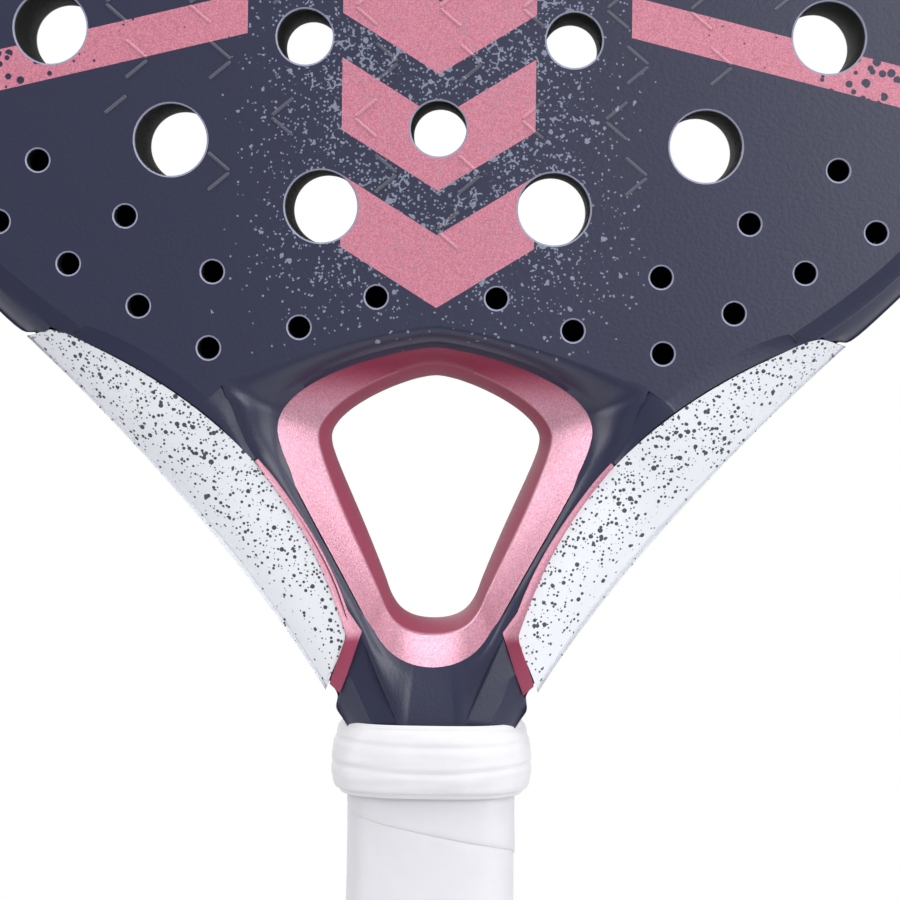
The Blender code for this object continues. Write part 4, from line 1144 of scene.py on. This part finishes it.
turns_up = math.ceil((GRIP_HIGH - seam_height(0.0)) / GRIP_PITCH)
bpy.ops.mesh.primitive_plane_add(size=10.0 * MM)
grip = bpy.context.active_object
grip.name = "grip_wrap"
bpy.ops.object.mode_set(mode="EDIT")
bpy.ops.mesh.select_mode(type="VERT")
bpy.ops.mesh.select_all(action="SELECT")
bpy.ops.mesh.merge(type="CENTER")
bpy.ops.transform.translate(value=(GRIP_HALF_WIDTH, 0.0, seam_height(0.0) + turns_up * GRIP_PITCH))
for (before, _), (after, _) in zip(SEAM_STEP, SEAM_STEP[1:]):
    step = (0.0, 0.0, (after - before) * GRIP_PITCH)
    bpy.ops.mesh.extrude_vertices_move(TRANSFORM_OT_translate={"value": step})
bpy.ops.object.mode_set(mode="OBJECT")
apply_modifier(
    grip,
    "SCREW",
    angle=FULL_TURN,
    screw_offset=-GRIP_PITCH,
    iterations=turns_up + 2,
    steps=96,
    render_steps=96,
    use_merge_vertices=True,
    merge_threshold=0.001 * MM,
)
bpy.ops.object.mode_set(mode="EDIT")
bpy.ops.mesh.select_all(action="SELECT")
bpy.ops.mesh.remove_doubles(threshold=0.001 * MM)
bpy.ops.mesh.bisect(plane_co=(0.0, 0.0, GRIP_HIGH), plane_no=(0.0, 0.0, 1.0), clear_outer=True)
bpy.ops.mesh.select_all(action="SELECT")
bpy.ops.mesh.bisect(plane_co=(0.0, 0.0, GRIP_LOW), plane_no=(0.0, 0.0, 1.0), clear_inner=True)
bpy.ops.mesh.select_all(action="SELECT")
bpy.ops.mesh.normals_make_consistent(inside=False)
bpy.ops.object.mode_set(mode="OBJECT")
for vertex in grip.data.vertices:
    turn = math.atan2(vertex.co.y, vertex.co.x)
    share = ((vertex.co.z - seam_height(turn)) / GRIP_PITCH + 0.0001) % 1.0
    strength = 0.35 + 0.65 * ease(-0.7, 0.7, math.cos(turn + 0.6))
    swell = noise.noise(Vector((80.0 * vertex.co.x, 80.0 * vertex.co.y, 110.0 * vertex.co.z)))
    growth = grip_flare(vertex.co.z) + seam_rise(share) * strength + 0.07 * MM * swell
    radius = handle_radius(turn, growth)
    vertex.co.x = radius * math.cos(turn)
    vertex.co.y = radius * math.sin(turn)
apply_modifier(grip, "SOLIDIFY", thickness=GRIP_WALL, offset=-1.0)
pick(grip)
bpy.ops.object.shade_smooth_by_angle(angle=math.radians(50.0))
hand_in(grip, "racket", ["grip_strip"], GRIP_WHITE)

# %% [markdown]
# The collar is a stretched rubber band over the top of the grip. Rubber under tension shows soft folds
# that run round it and are never quite level, so two shallow grooves wander up and down, and noise
# slackens what lies between them. The upper lip is pulled in to meet the neck.

# %% Collar
LIP_PULL = 0.35
UPPER_FOLD = 9.0
LOWER_FOLD = 4.4
collar = copy_node("collar", "collar_band")
round_off(collar, math.radians(70.0), 3)
COLLAR_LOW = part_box("collar")[0].z
for vertex in collar.data.vertices:
    turn = math.atan2(vertex.co.y, vertex.co.x)
    up = vertex.co.z - COLLAR_LOW
    radius = math.hypot(vertex.co.x, vertex.co.y)
    outside = ease(1.2 * MM, 2.0 * MM, radius - handle_radius(turn, 0.0))
    lip = -LIP_PULL * MM * ease(9.0 * MM, 11.8 * MM, up)
    upper = math.exp(-(((up / MM - UPPER_FOLD) - 0.4 * math.sin(2.0 * turn + 1.0)) / 0.55) ** 2)
    lower = math.exp(-(((up / MM - LOWER_FOLD) + 0.5 * math.sin(3.0 * turn)) / 0.50) ** 2)
    fold = noise.noise(Vector((2.2 * math.cos(turn), 2.2 * math.sin(turn), 900.0 * up)))
    slack = noise.noise(Vector((5.0 * math.cos(turn), 5.0 * math.sin(turn), 150.0 * up)))
    shift = lip + outside * MM * (0.12 * fold + 0.28 * slack - 0.26 * upper - 0.24 * lower + 0.15)
    vertex.co.x += shift * math.cos(turn)
    vertex.co.y += shift * math.sin(turn)
hand_in(collar, "collar", ["collar"], COLLAR_WHITE)

# %% [markdown]
# The finishing tape holds the end of the strip under the collar, and the butt cap closes the handle. Both
# are rounded off from their solids. The handle's inner pallets are hidden, and they only need their
# foam's own tone.

# %% Tape and butt cap
tape = copy_node("finishing_tape", "tape_band")
round_off(tape, math.radians(60.0))
hand_in(tape, "racket", ["finishing_tape"], TAPE_WHITE)
cap = copy_node("butt_cap", "butt_end")
round_off(cap, math.radians(50.0))
hand_in(cap, "racket", ["butt_cap"], BLACK_PLASTIC)
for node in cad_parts:
    if "pallet" in node:
        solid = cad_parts[node]
        solid.data.materials.clear()
        solid.data.materials.append(TAN_FOAM)
